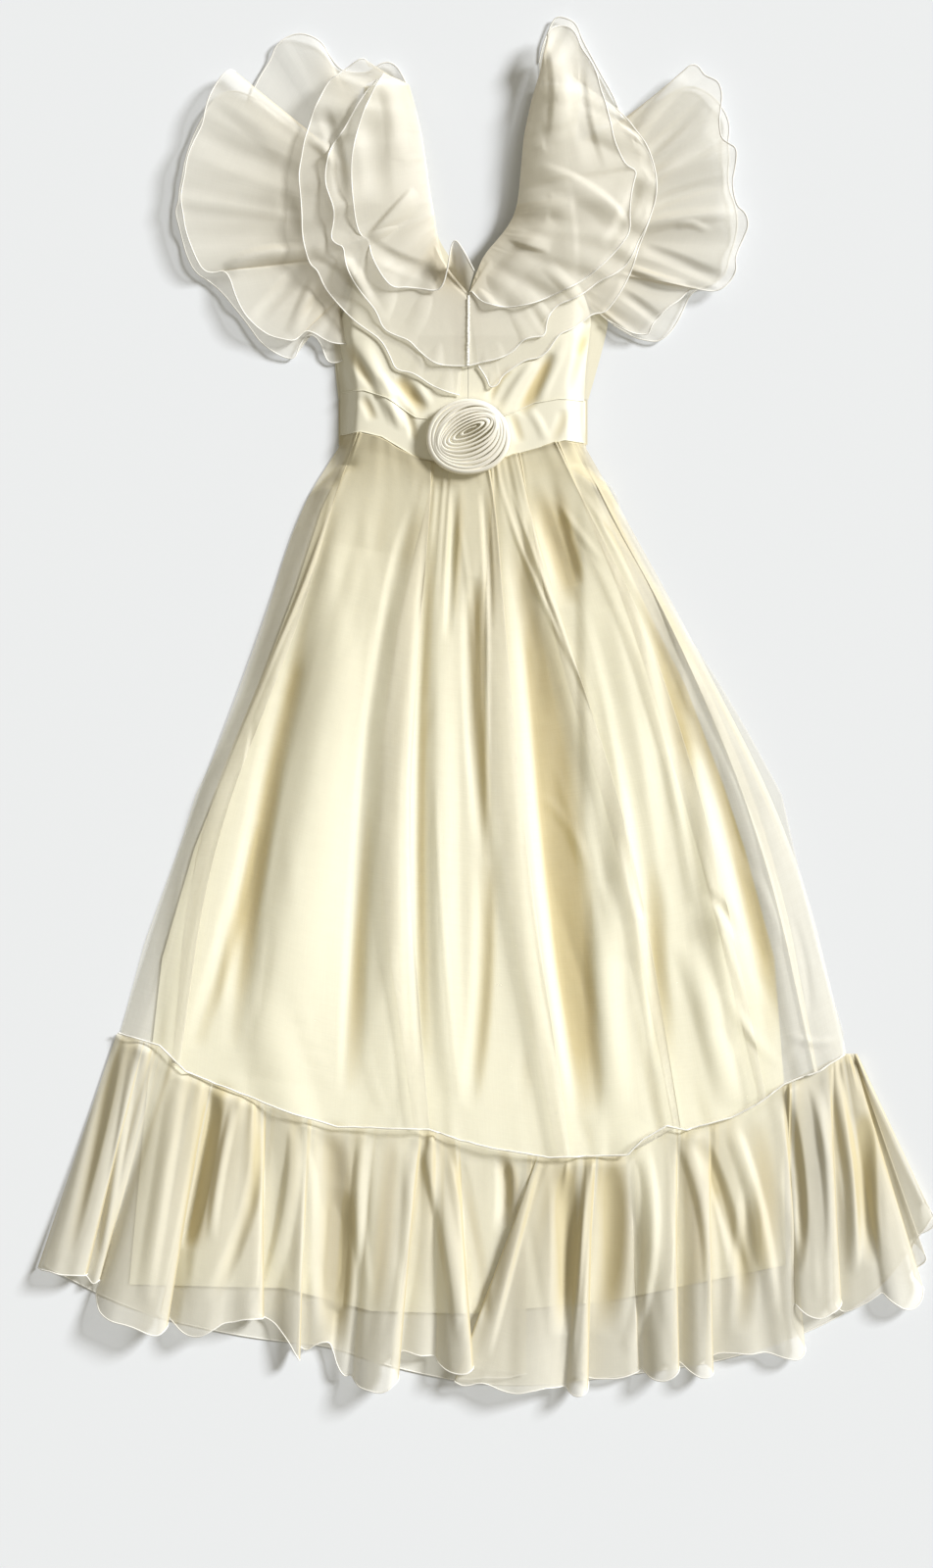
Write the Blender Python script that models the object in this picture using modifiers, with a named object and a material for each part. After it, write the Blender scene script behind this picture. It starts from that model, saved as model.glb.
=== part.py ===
"""Prom dress of sheer organza over a pale lining, laid flat on its back with the front up.

Lengths are millimetres in the dress's own frame: x to the viewer's right, y up the dress, z up from
the floor, with the centre of the waist rosette at x = 0, y = 0. Every z is the middle of a cloth wall.
The dress is moved at the end so that it is centred on the origin.
"""

from collections import namedtuple

import bmesh
import bpy
import numpy as np

MM = 0.001
WALL = 1.2  # thickness of every cloth wall
SEAM_GAP = 0.4  # between two pieces sewn edge to edge
LAYER = 1.8  # from the middle of one wall to the middle of the wall sewn on top of it

BACK_Z = 0.6  # back pieces, flat on the floor
SIDE_Z = 2.1  # edges of a front piece, down on the back piece at the side seams
LINING_BACK_Z = 2.1
LINING_FRONT_Z = 3.6
FRONT_Z = 6.0  # front pieces away from their edges, before the body's fullness is added
LINING_FULLNESS = 0.85  # the lining front's share of the fullness
LINING_DROP = 2.0  # from the skirt's waist down to the top of the lining

CENTRE_X = 1.0  # centre-front and centre-back seams
EDGE_ROLL = 10.0  # width over which a front piece rises from its side seam

Outline = namedtuple("Outline", "y left right crown")
Fold = namedtuple("Fold", "waist_x waist_y high_x hip_x knee_x seam_x seam_y kind lift tuck")
Station = namedtuple("Station", "seam_x seam_y hem_x hem_y kind lift tuck")
Ruffle = namedtuple("Ruffle", "seam_x seam_y hem_x hem_y lift")
Flutter = namedtuple("Flutter", "seam_y hem_x hem_y lift")
Row = namedtuple("Row", "inner_x inner_y outer_x outer_y")
Fabric = namedtuple("Fabric", "colour roughness wall")

# The whole dress as it lies: its side outlines and the height its front is filled out to
OUTLINE = [
    Outline(478, -122, 134, 2),
    Outline(413, -120, 132, 5),
    Outline(300, -126, 128, 9),
    Outline(213, -142, 136, 13),
    Outline(164, -154, 148, 17),
    Outline(117, -156, 146, 20),
    Outline(44, -148, 137, 17),
    Outline(0, -151, 138, 16),
    Outline(-32, -152, 140, 15),
    Outline(-61, -183, 174, 14),
    Outline(-107, -204, 187, 14),
    Outline(-153, -219, 210, 13),
    Outline(-222, -237, 254, 13),
    Outline(-291, -261, 298, 13),
    Outline(-351, -286, 333, 12),
    Outline(-417, -318, 369, 12),
    Outline(-475, -336, 382, 12),
    Outline(-590, -378, 409, 11),
    Outline(-700, -408, 442, 9),
    Outline(-850, -460, 490, 7),
    Outline(-985, -505, 545, 4),
    Outline(-1130, -505, 545, 1),
]

# Seams that run across the dress, as (x, y) from left to right
MIDRIFF_TOP = [(-150, 53), (-121, 54), (-94, 45), (-60, 22), (0, 16), (49, 26), (78, 39), (107, 44), (140, 43)]
WAIST = [(-150, 3), (-125, 6), (-100, 0), (-60, -24), (0, -36), (49, -22), (78, -14), (113, -4), (140, -6)]
FLOUNCE_SEAM = [
    (-411, -698), (-387, -704), (-360, -712), (-330, -742), (-295, -757), (-255, -772), (-204, -792),
    (-152, -807), (-45, -810), (-10, -822), (30, -832), (95, -843), (187, -840), (205, -822),
    (233, -806), (256, -811), (308, -797), (337, -782), (371, -757), (412, -742), (444, -722),
]
BACK_SEAM = [
    (-411, -699), (-340, -732), (-240, -775), (-150, -800), (-40, -818), (70, -832), (180, -832),
    (290, -800), (380, -752), (444, -722),
]
LINING_HEM = [(-400, -993), (-215, -997), (-112, -1024), (0, -1027), (164, -1013), (360, -973), (375, -970)]

# Side edges of the lining, inside the overskirt
LINING_SIDES = [
    Outline(-10, -134, 126, 0),
    Outline(-84, -171, 159, 0),
    Outline(-176, -201, 199, 0),
    Outline(-291, -244, 256, 0),
    Outline(-406, -290, 300, 0),
    Outline(-481, -320, 325, 0),
    Outline(-610, -352, 360, 0),
    Outline(-751, -370, 371, 0),
    Outline(-1030, -400, 374, 0),
]

# Lines down the overskirt's front, left to right; high, hip and knee lines are at these heights
HIGH_Y, HIP_Y, KNEE_Y = -84, -222, -475
SKIRT_GROWTH = [0.0, 0.5, 0.9, 1.0, 0.0]  # how far a fold stands up at waist, high, hip, knee and seam
SKIRT_FOLDS = [
    Fold(-150, -10, -197, -240, -336, -406, -698, "edge", 0, 0),
    Fold(-143, 0, -186, -226, -322, -391, -702, "ridge", 1, 0),
    Fold(-135, 5, -175, -209, -301, -359, -712, "ridge", 1, 0),
    Fold(-128, 6, -160, -194, -289, -342, -733, "ridge", 11, 0),
    Fold(-118, 4, -140, -166, -247, -282, -763, "ridge", 0, 0),
    Fold(-107, 2, -114, -140, -213, -247, -775, "ridge", 14, 0),
    Fold(-95, -3, -93, -112, -178, -204, -792, "ridge", 18, 0),
    Fold(-83, -12, -77, -85, -125, -135, -808, "ridge", 1, 0),
    Fold(-66, -20, -60, -66, -91, -88, -810, "ridge", 13, 0),
    Fold(-43, -28, -42, -54, -72, -43, -811, "right", 18, 14),
    Fold(-31, -31, -29, -38, -47, -29, -815, "ridge", 13, 0),
    Fold(-22, -33, -16, -17, -25, -17, -820, "ridge", 4, 0),
    Fold(-13, -35, -6, 3, 2, 4, -825, "ridge", 1, 0),
    Fold(1, -36, 6, 17, 23, 30, -832, "left", 15, 10),
    Fold(13, -34, 20, 29, 45, 61, -837, "ridge", 21, 0),
    Fold(26, -30, 35, 45, 68, 113, -843, "right", 18, 18),
    Fold(36, -27, 49, 72, 101, 130, -843, "ridge", 0, 0),
    Fold(44, -24, 63, 95, 136, 151, -843, "ridge", 7, 0),
    Fold(54, -20, 78, 124, 167, 178, -842, "ridge", 14, 0),
    Fold(66, -18, 98, 155, 205, 245, -808, "ridge", 11, 0),
    Fold(78, -14, 116, 178, 239, 279, -806, "ridge", 1, 0),
    Fold(91, -9, 132, 201, 270, 316, -794, "ridge", 13, 0),
    Fold(105, -5, 146, 220, 302, 354, -770, "ridge", 1, 0),
    Fold(116, -4, 156, 233, 331, 385, -752, "ridge", 8, 0),
    Fold(125, -6, 163, 243, 354, 413, -741, "ridge", 1, 0),
    Fold(132, -9, 170, 250, 371, 431, -730, "ridge", 1, 0),
    Fold(139, -12, 180, 256, 386, 444, -720, "edge", 0, 0),
]

# Lines down the hem flounce, left to right: where each leaves the seam and where it ends at the hem
FLOUNCE_FOLDS = [
    Station(-411, -698, -503, -973, "edge", 0, 0),
    Station(-400, -700, -474, -979, "ridge", 8, 0),
    Station(-390, -704, -443, -981, "right", 17, 12),
    Station(-376, -708, -436, -995, "ridge", 6, 0),
    Station(-345, -727, -434, -1013, "left", 18, 10),
    Station(-330, -742, -388, -1041, "ridge", 18, 0),
    Station(-304, -754, -350, -1041, "right", 18, 14),
    Station(-278, -765, -319, -1051, "ridge", 9, 0),
    Station(-261, -770, -293, -1043, "ridge", 13, 0),
    Station(-240, -778, -238, -1030, "right", 17, 12),
    Station(-215, -788, -219, -1036, "ridge", 5, 0),
    Station(-186, -798, -197, -1081, "right", 17, 12),
    Station(-152, -807, -163, -1059, "ridge", 2, 0),
    Station(-129, -808, -146, -1096, "ridge", 8, 0),
    Station(-106, -809, -132, -1104, "left", 22, 10),
    Station(-83, -810, -106, -1114, "ridge", 22, 0),
    Station(-58, -810, -79, -1099, "right", 22, 14),
    Station(-45, -811, -58, -1075, "ridge", 3, 0),
    Station(-37, -814, -36, -1084, "left", 21, 8),
    Station(-25, -818, -14, -1094, "ridge", 27, 0),
    Station(-12, -822, 9, -1090, "right", 30, 30),
    Station(30, -832, -11, -1086, "ridge", 0, 0),
    Station(70, -839, -17, -1104, "left", 13, 18),
    Station(95, -843, 49, -1119, "ridge", 15, 0),
    Station(113, -843, 90, -1117, "ridge", 12, 0),
    Station(130, -843, 108, -1112, "ridge", 2, 0),
    Station(142, -843, 113, -1113, "left", 17, 6),
    Station(155, -843, 128, -1122, "ridge", 18, 0),
    Station(170, -842, 141, -1105, "right", 17, 10),
    Station(187, -840, 174, -1101, "ridge", 3, 0),
    Station(205, -822, 191, -1081, "left", 15, 8),
    Station(230, -808, 222, -1101, "ridge", 16, 0),
    Station(256, -811, 245, -1087, "right", 18, 9),
    Station(272, -808, 268, -1096, "ridge", 7, 0),
    Station(285, -804, 288, -1098, "right", 15, 9),
    Station(308, -797, 325, -1073, "ridge", 5, 0),
    Station(337, -782, 360, -1071, "ridge", 9, 0),
    Station(358, -767, 386, -1055, "right", 15, 9),
    Station(380, -754, 392, -1018, "left", 18, 6),
    Station(395, -748, 413, -1029, "ridge", 22, 0),
    Station(410, -742, 437, -1013, "right", 22, 13),
    Station(420, -737, 458, -1016, "ridge", 2, 0),
    Station(428, -732, 484, -1004, "ridge", 10, 0),
    Station(434, -728, 509, -1019, "ridge", 12, 0),
    Station(439, -725, 528, -996, "ridge", 5, 0),
    Station(444, -722, 542, -937, "edge", 0, 0),
]
FLOUNCE_BACK_HEM = [
    (-497, -971), (-390, -1026), (-255, -1057), (-160, -1064), (-90, -1091), (40, -1116), (195, -1099),
    (330, -1078), (475, -1016), (546, -914),
]

# Bodice front halves from the midriff to the shoulder: centre or neck edge, then side or armhole edge
BODICE_RIGHT = [
    Row(1, 17, 137, 43), Row(1, 66, 138, 77), Row(1, 117, 143, 117), Row(1, 164, 146, 146),
    Row(23, 213, 132, 178), Row(59, 247, 121, 213), Row(66, 296, 117, 278), Row(70, 353, 122, 353),
    Row(84, 413, 130, 413),
]
BODICE_LEFT = [
    Row(1, 17, -148, 53), Row(1, 66, -151, 71), Row(1, 117, -154, 98), Row(1, 164, -152, 129),
    Row(-17, 188, -139, 169), Row(-36, 206, -125, 198), Row(-49, 290, -106, 278), Row(-57, 353, -112, 353),
    Row(-75, 413, -118, 413),
]
BACK_RIGHT = [
    Row(1, 45, 148, 45), Row(1, 80, 155, 80), Row(1, 117, 162, 117), Row(1, 178, 167, 144),
    Row(17, 206, 141, 181), Row(52, 243, 128, 213), Row(63, 296, 122, 278), Row(70, 353, 126, 353),
    Row(84, 413, 135, 413),
]
BACK_LEFT = [
    Row(1, 45, -151, 45), Row(1, 80, -155, 80), Row(1, 117, -157, 117), Row(1, 178, -154, 144),
    Row(-17, 206, -141, 181), Row(-40, 243, -128, 213), Row(-47, 296, -110, 278), Row(-56, 353, -115, 353),
    Row(-75, 413, -121, 413),
]
MIDRIFF_LEFT = -149.0
MIDRIFF_RIGHT = 138.5
MIDRIFF_BACK_TOP = 44.7
MIDRIFF_BACK_FOOT = -8.0
MIDRIFF_BACK_LEFT = -151.0
MIDRIFF_BACK_RIGHT = 141.0

# Neck ruffle tiers from the V up to the shoulder; levels are heights over the front at neckline and hem
TIER_LEVELS = {"lower": (-0.3, 2.0), "middle": (1.5, 8.0), "upper": (3.3, 15.0)}
NECK_LEFT = {
    "upper": [
        Ruffle(1, 178, -15, 216, 8), Ruffle(-8, 176, -31, 170, 2), Ruffle(-22, 188, -60, 172, 0),
        Ruffle(-36, 206, -87, 174, 3), Ruffle(-41, 232, -105, 200, 6), Ruffle(-46, 267, -117, 233, 5),
        Ruffle(-49, 296, -132, 273, 12), Ruffle(-54, 324, -133, 309, 15), Ruffle(-57, 353, -128, 353, 15),
        Ruffle(-63, 382, -114, 390, 12), Ruffle(-69, 401, -95, 422, 8),
    ],
    "middle": [
        Ruffle(1, 166, 0, 82, 0), Ruffle(-3, 171, -25, 82, 1), Ruffle(-8, 178, -46, 92, 3),
        Ruffle(-20, 186, -68, 112, 2), Ruffle(-31, 198, -97, 121, 5), Ruffle(-36, 213, -121, 166, 3),
        Ruffle(-41, 238, -140, 213, 6), Ruffle(-46, 267, -158, 223, 7), Ruffle(-49, 296, -156, 267, 7),
        Ruffle(-53, 319, -166, 293, 9), Ruffle(-56, 342, -160, 330, 8), Ruffle(-60, 365, -146, 353, 8),
        Ruffle(-66, 385, -129, 385, 7), Ruffle(-71, 401, -106, 413, 5),
    ],
    "lower": [
        Ruffle(1, 164, -8, 48, 0), Ruffle(-4, 170, -34, 56, 1), Ruffle(-10, 181, -60, 72, 3),
        Ruffle(-20, 189, -86, 77, 1), Ruffle(-29, 198, -106, 113, 4), Ruffle(-36, 213, -132, 140, 2),
        Ruffle(-41, 238, -160, 166, 5), Ruffle(-46, 267, -181, 198, 7), Ruffle(-49, 296, -193, 232, 8),
        Ruffle(-53, 324, -197, 284, 9), Ruffle(-57, 353, -192, 330, 8), Ruffle(-62, 376, -182, 370, 7),
        Ruffle(-68, 393, -164, 411, 5), Ruffle(-74, 408, -122, 442, 3),
    ],
}
NECK_RIGHT = {
    "upper": [
        Ruffle(3, 169, 17, 155, 0), Ruffle(8, 181, 44, 151, 3), Ruffle(17, 204, 78, 155, 6),
        Ruffle(30, 217, 113, 169, 8), Ruffle(44, 231, 141, 185, 7), Ruffle(57, 246, 168, 210, 9),
        Ruffle(63, 267, 187, 236, 5), Ruffle(64, 284, 189, 267, 8), Ruffle(66, 301, 195, 304, 8),
        Ruffle(68, 342, 178, 324, 12), Ruffle(70, 365, 167, 353, 14), Ruffle(74, 382, 160, 393, 12),
        Ruffle(78, 399, 141, 438, 9), Ruffle(83, 416, 125, 470, 6), Ruffle(87, 434, 109, 478, 3),
        Ruffle(91, 445, 94, 466, 2),
    ],
    "middle": [
        Ruffle(2, 166, 2, 82, 0), Ruffle(7, 176, 32, 89, 3), Ruffle(14, 193, 52, 98, 2),
        Ruffle(22, 208, 69, 114, 4), Ruffle(32, 219, 91, 117, 2), Ruffle(44, 231, 98, 146, 4),
        Ruffle(55, 243, 130, 162, 3), Ruffle(62, 259, 174, 194, 5), Ruffle(64, 278, 205, 235, 7),
        Ruffle(66, 296, 218, 273, 8), Ruffle(66, 313, 220, 305, 8), Ruffle(68, 336, 212, 336, 7),
        Ruffle(71, 359, 193, 365, 5), Ruffle(76, 385, 168, 386, 4),
    ],
    "lower": [
        Ruffle(3, 164, 12, 84, 0), Ruffle(10, 183, 26, 56, 2), Ruffle(17, 200, 40, 70, 0),
        Ruffle(26, 215, 63, 87, 3), Ruffle(38, 227, 94, 99, 1), Ruffle(49, 238, 103, 117, 3),
        Ruffle(60, 251, 130, 133, 1), Ruffle(63, 270, 161, 151, 3), Ruffle(64, 289, 187, 201, 4),
        Ruffle(66, 307, 205, 244, 5), Ruffle(68, 330, 212, 284, 7), Ruffle(71, 353, 205, 330, 8),
        Ruffle(76, 378, 187, 365, 8),
    ],
}

# Flutter sleeves: two layers gathered to the armhole, from the shoulder down to the underarm
ARMHOLE_GAP = 1.2
FLUTTER_SEAM_Z = {"lower": 2.1, "upper": 3.6}
FLUTTER_LEFT = {
    "upper": [
        Flutter(334, -276, 430, 26), Flutter(320, -293, 413, 27),
        Flutter(306, -309, 376, 23), Flutter(293, -323, 336, 24), Flutter(281, -332, 296, 17),
        Flutter(270, -332, 255, 19), Flutter(258, -323, 221, 14), Flutter(246, -307, 193, 17),
        Flutter(235, -283, 195, 22), Flutter(222, -275, 178, 12), Flutter(208, -258, 141, 16),
        Flutter(194, -232, 120, 13), Flutter(180, -201, 113, 17), Flutter(168, -184, 124, 12),
        Flutter(156, -163, 113, 14), Flutter(142, -150, 106, 12),
    ],
    "lower": [
        Flutter(322, -282, 408, 5), Flutter(308, -309, 385, 7), Flutter(294, -330, 339, 4),
        Flutter(281, -337, 290, 7), Flutter(268, -339, 250, 4), Flutter(250, -330, 217, 6),
        Flutter(234, -305, 185, 4), Flutter(218, -282, 163, 6), Flutter(202, -254, 125, 4),
        Flutter(186, -221, 97, 6), Flutter(172, -199, 95, 4), Flutter(158, -181, 118, 5),
        Flutter(147, -163, 90, 4),
    ],
}
FLUTTER_RIGHT = {
    "upper": [
        Flutter(340, 245, 422, 20), Flutter(325, 268, 435, 18),
        Flutter(311, 288, 419, 20), Flutter(298, 297, 399, 16), Flutter(286, 296, 365, 20),
        Flutter(275, 312, 336, 15), Flutter(264, 312, 296, 19), Flutter(253, 322, 263, 15),
        Flutter(243, 322, 232, 19), Flutter(232, 313, 204, 16), Flutter(222, 302, 178, 20),
        Flutter(212, 277, 171, 18), Flutter(203, 258, 178, 20), Flutter(193, 245, 158, 11),
        Flutter(183, 237, 130, 15), Flutter(173, 220, 113, 11), Flutter(163, 193, 121, 14),
        Flutter(155, 167, 137, 10),
    ],
    "lower": [
        Flutter(326, 256, 405, 5), Flutter(311, 289, 393, 7), Flutter(297, 307, 370, 5),
        Flutter(284, 305, 332, 7), Flutter(270, 314, 290, 5), Flutter(257, 316, 244, 7),
        Flutter(244, 307, 198, 5), Flutter(230, 282, 178, 6), Flutter(215, 254, 155, 4),
        Flutter(200, 231, 121, 6), Flutter(186, 205, 116, 4), Flutter(171, 174, 130, 5),
    ],
}

# Back neck ruffle: the loops that show above the shoulders, with heights of their own at the hem
BACK_RUFFLE_LEFT = [
    Ruffle(-169, 284, -256, 392, 1.0), Ruffle(-158, 294, -230, 447, 2), Ruffle(-148, 310, -198, 473, 7),
    Ruffle(-140, 335, -162, 450, 4), Ruffle(-136, 370, -144, 428, 1.5), Ruffle(-130, 408, -119, 434, 3),
    Ruffle(-118, 422, -94, 442, 7), Ruffle(-78, 420, -70, 434, 3),
]
BACK_RUFFLE_RIGHT = [
    Ruffle(86, 418, 84, 440, 2), Ruffle(94, 418, 94, 474, 4), Ruffle(106, 418, 103, 493, 7),
    Ruffle(122, 420, 128, 485, 6), Ruffle(138, 421, 149, 445, 3), Ruffle(144, 404, 170, 393, 1.5),
    Ruffle(145, 370, 186, 362, 1.0),
]

# Rosette: one strip of folded organza wound in a spiral, tallest in the middle
ROSE_TURNS = 5
ROSE_STEPS = 20  # sections in each turn
ROSE_CORE = 6.0
ROSE_RADIUS = 46.0
ROSE_EDGE_HEIGHT = 12.0
ROSE_CORE_HEIGHT = 27.0
ROSE_SQUASH = 0.92  # its height on the dress against its width
ROSE_LEAN = 0.25  # how far the strip's upper edge leans out, for each millimetre of height

# The three cloths; the rosette's strip is folded double
ORGANZA = Fabric((0.86, 0.83, 0.74), 0.6, WALL)
FOLDED_ORGANZA = Fabric((0.86, 0.83, 0.74), 0.6, 2.2)
SATIN = Fabric((0.93, 0.88, 0.68), 0.35, WALL)
LINING = Fabric((0.90, 0.83, 0.57), 0.5, WALL)

# Shapes of folds and fullness
FOLD_FLAT = np.array([-3.0, -1.0, 1.0, 3.0])  # places of an overlapping fold's four lines where it lies flat
FOLD_TURNED = np.array([0.0, 0.0, 1.0, 1.0])  # their shares of the tuck where it stands
FOLD_LEVELS = (1.0, 0.72, 0.42, 0.0)  # their shares of its lift
TUCK_POWER = 2.0  # a fold turns under later than it rises
SKIRT_LIFT_POWER = 0.7
FLOUNCE_LIFT_POWER = 0.8
FLUTTER_LIFT_POWER = 1.5
BACK_RUFFLE_LIFT_POWER = 2.0
FULLNESS_POWER = 3  # how squarely the fullness is spread between the side seams
LINING_POWER = 4  # how squarely the lining's own fullness is spread between its sides

# How finely the pieces are cut: points along them, and rounding points at each line of their tables
SKIRT_ROWS = 11
SKIRT_CROWDING = 1.3  # above 1, the skirt's rows are closer together at the waist
SKIRT_ROUNDING = 2
FLOUNCE_ROWS = 6
FLOUNCE_ROUNDING = 1
RUFFLE_ROWS = 4
RUFFLE_ROUNDING = 2
BACK_ROWS = 9
BODICE_ROWS = 11
BODICE_COLUMNS = 9
BODICE_BACK_COLUMNS = 4
MIDRIFF_ROWS = 5
MIDRIFF_COLUMNS = 17
LINING_ROWS = 10
LINING_COLUMNS = 16
LENGTH_ROUNDING = 6  # along a skirt fold
SIDE_ROUNDING = 3  # along a bodice edge
EDGE_PASSES = 6  # rounds in which a panel's places across and down settle on each other


def clear_scene():
    for thing in list(bpy.data.objects):
        bpy.data.objects.remove(thing, do_unlink=True)


def height_of(line, x):
    """The y of a seam line, given as (x, y) points, at x."""
    return np.interp(x, [point[0] for point in line], [point[1] for point in line])


def outline_at(table, y):
    """Left edge, right edge and crown of an outline table at height y."""
    rows = sorted(table, key=lambda row: row.y)
    heights = [row.y for row in rows]
    return [np.interp(y, heights, [getattr(row, name) for row in rows]) for name in ("left", "right", "crown")]


def spread(across, power):
    """A share that is 1 in the middle of a width and 0 at both of its sides."""
    return 1 - np.abs(2 * across - 1) ** power


def fullness(x, y):
    """How far the filled-out front stands above the flat cloth at a point: nothing at the outline."""
    left, right, crown = outline_at(OUTLINE, y)
    return crown * spread(np.clip((x - left) / (right - left), 0, 1), FULLNESS_POWER)


def front_z(x, y, layer=0.0):
    """Height of a front piece: down on the back at the side seams, filled out away from them."""
    left, right, _crown = outline_at(OUTLINE, y)
    rise = np.clip(np.minimum(x - left, right - x) / EDGE_ROLL, 0, 1)
    rise = rise * rise * (3 - 2 * rise)
    return SIDE_Z + (FRONT_Z + layer - SIDE_Z + fullness(x, y)) * rise


def soften(controls, samples):
    """Points on the rounded line that a row of controls pulls on; the two ends are kept."""
    controls = np.asarray(controls, float)
    middles = (controls[:-1] + controls[1:]) / 2
    line = [controls[0]]
    for number in range(1, len(controls) - 1):
        start, pull, end = middles[number - 1], controls[number], middles[number]
        for part in (np.arange(samples) + 0.5) / samples:
            line.append((1 - part) ** 2 * start + 2 * part * (1 - part) * pull + part**2 * end)
    line.append(controls[-1])
    return np.array(line)


def soften_across(lines, samples):
    """A grid from the lines of a piece, given a list of points for each, rounded from line to line."""
    rows = np.array(lines, float).swapaxes(0, 1)
    return np.array([soften(row, samples) for row in rows]).swapaxes(0, 1)


def resample(line, count, crowding=1.0):
    """A line cut again into count points by distance along it, crowded towards its start above 1."""
    line = np.asarray(line, float)
    steps = np.linalg.norm(np.diff(line[:, :2], axis=0), axis=1)
    along = np.concatenate(([0], np.cumsum(steps)))
    places = along[-1] * np.linspace(0, 1, count) ** crowding
    return np.column_stack([np.interp(places, along, values) for values in line.T])


def folded(x, kind, tuck, growth):
    """Places across the cloth of one fold's lines, and which of its sides each is on: 1 top, 0 bottom.

    A ridge is one line. At an overlapping fold the cloth turns under at its edge, runs back by the tuck
    and goes on beneath; near a seam, where growth is 0, its four lines lie side by side.
    """
    if kind not in ("right", "left"):
        return [(x, 1.0)]
    side = 1 if kind == "right" else -1
    offsets = FOLD_FLAT * (1 - growth) - tuck * FOLD_TURNED * growth**TUCK_POWER
    lines = [(x + side * offset, level) for offset, level in zip(offsets, FOLD_LEVELS)]
    return lines if side > 0 else lines[::-1]


def folded_stage(fold, x, y, growth, rise):
    """Points of one fold's lines at one height on the cloth, standing up by its lift."""
    points = []
    for place, level in folded(x, fold.kind, fold.tuck, growth):
        z = SIDE_Z if fold.kind == "edge" else front_z(place, y) + fold.lift * rise * level
        points.append((place, y, z))
    return points


def cloth(name, grid, fabric):
    """One piece of cloth: an open sheet through a grid of points, given its wall by Solidify."""
    columns, rows = grid.shape[:2]
    sheet = bmesh.new()
    points = [[sheet.verts.new(point * MM) for point in column] for column in grid]
    for column in range(columns - 1):
        for row in range(rows - 1):
            near, far = points[column], points[column + 1]
            sheet.faces.new((near[row], near[row + 1], far[row + 1], far[row]))
    mesh = bpy.data.meshes.new(name)
    sheet.to_mesh(mesh)
    sheet.free()
    mesh.shade_smooth()
    piece = bpy.data.objects.new(name, mesh)
    collection.objects.link(piece)
    wall = piece.modifiers.new("wall", "SOLIDIFY")
    wall.thickness = fabric.wall * MM
    wall.offset = 0

    material = bpy.data.materials.new(name)
    material.use_nodes = True
    shader = material.node_tree.nodes["Principled BSDF"]
    shader.inputs["Base Color"].default_value = (*fabric.colour, 1)
    shader.inputs["Roughness"].default_value = fabric.roughness
    mesh.materials.append(material)


def overskirt_front():
    """Gathered front of the overskirt: lines down the skirt, some of them overlapping folds."""
    lines = []
    for fold in SKIRT_FOLDS:
        places = (fold.waist_x, fold.high_x, fold.hip_x, fold.knee_x, fold.seam_x)
        heights = (fold.waist_y, HIGH_Y, HIP_Y, KNEE_Y, fold.seam_y)
        middle = soften(list(zip(places, heights, SKIRT_GROWTH)), LENGTH_ROUNDING)
        stages = [
            folded_stage(fold, x, y, growth, growth**SKIRT_LIFT_POWER)
            for x, y, growth in resample(middle, SKIRT_ROWS, SKIRT_CROWDING)
        ]
        lines.extend(zip(*stages))
    grid = soften_across(lines, SKIRT_ROUNDING)
    for line in grid:
        line[0, 1] = height_of(WAIST, line[0, 0]) - SEAM_GAP
        line[0, 2] = front_z(line[0, 0], line[0, 1], -LAYER)
        line[-1, 1] = height_of(FLOUNCE_SEAM, line[-1, 0])
    grid[[0, -1], :, 2] = SIDE_Z
    return grid


def flounce_front():
    """Hem flounce: each line runs from the seam, where it is flat, to the hem, where it stands."""
    lines = []
    for fold in FLOUNCE_FOLDS:
        stages = []
        for part in np.linspace(0, 1, FLOUNCE_ROWS):
            x = fold.seam_x + (fold.hem_x - fold.seam_x) * part
            y = fold.seam_y + (fold.hem_y - fold.seam_y) * part
            growth = part**FLOUNCE_LIFT_POWER
            stages.append(folded_stage(fold, x, y, growth, growth))
        lines.extend(zip(*stages))
    grid = soften_across(lines, FLOUNCE_ROUNDING)
    for line in grid:
        line[0, 1] = height_of(FLOUNCE_SEAM, line[0, 0]) - SEAM_GAP
        line[0, 2] = front_z(line[0, 0], line[0, 1], -LAYER)
    grid[[0, -1], :, 2] = SIDE_Z
    return grid


def overskirt_back():
    """Flat back of the overskirt; its lower edge turns at the same points as the flounce's upper edge."""
    grid = []
    for seam_x, seam_y in BACK_SEAM:
        across = (seam_x - BACK_SEAM[0][0]) / (BACK_SEAM[-1][0] - BACK_SEAM[0][0])
        line = []
        for down in np.linspace(0, 1, BACK_ROWS):
            y = MIDRIFF_BACK_FOOT - SEAM_GAP + (seam_y + SEAM_GAP - MIDRIFF_BACK_FOOT) * down
            left, right, _crown = outline_at(OUTLINE, max(y, BACK_SEAM[0][1]))
            line.append((left + (right - left) * across, y, BACK_Z))
        line[-1] = (seam_x, seam_y + SEAM_GAP / 2, BACK_Z)
        grid.append(line)
    return np.array(grid)


def flounce_back():
    """Flat back of the flounce, from the overskirt's lower edge to the hem."""
    grid = []
    for seam, hem in zip(BACK_SEAM, FLOUNCE_BACK_HEM):
        start = np.array((seam[0], seam[1] - SEAM_GAP / 2, BACK_Z))
        end = np.array((*hem, BACK_Z))
        grid.append([start, (start + end) / 2, end])
    return np.array(grid)


def lining(top, foot, height):
    """A panel of the lining between its side edges and two seam lines, each a rule for y at x."""
    grid = np.zeros((LINING_COLUMNS, LINING_ROWS, 3))
    for column, across in enumerate(np.linspace(0, 1, LINING_COLUMNS)):
        for row, down in enumerate(np.linspace(0, 1, LINING_ROWS)):
            x, y = 0.0, LINING_SIDES[-1].y / 2
            for _ in range(EDGE_PASSES):
                left, right, _crown = outline_at(LINING_SIDES, y)
                x = left + (right - left) * across
                y = top(x) + (foot(x) - top(x)) * down
            grid[column, row] = (x, y, height(x, y, across))
    return grid


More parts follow.
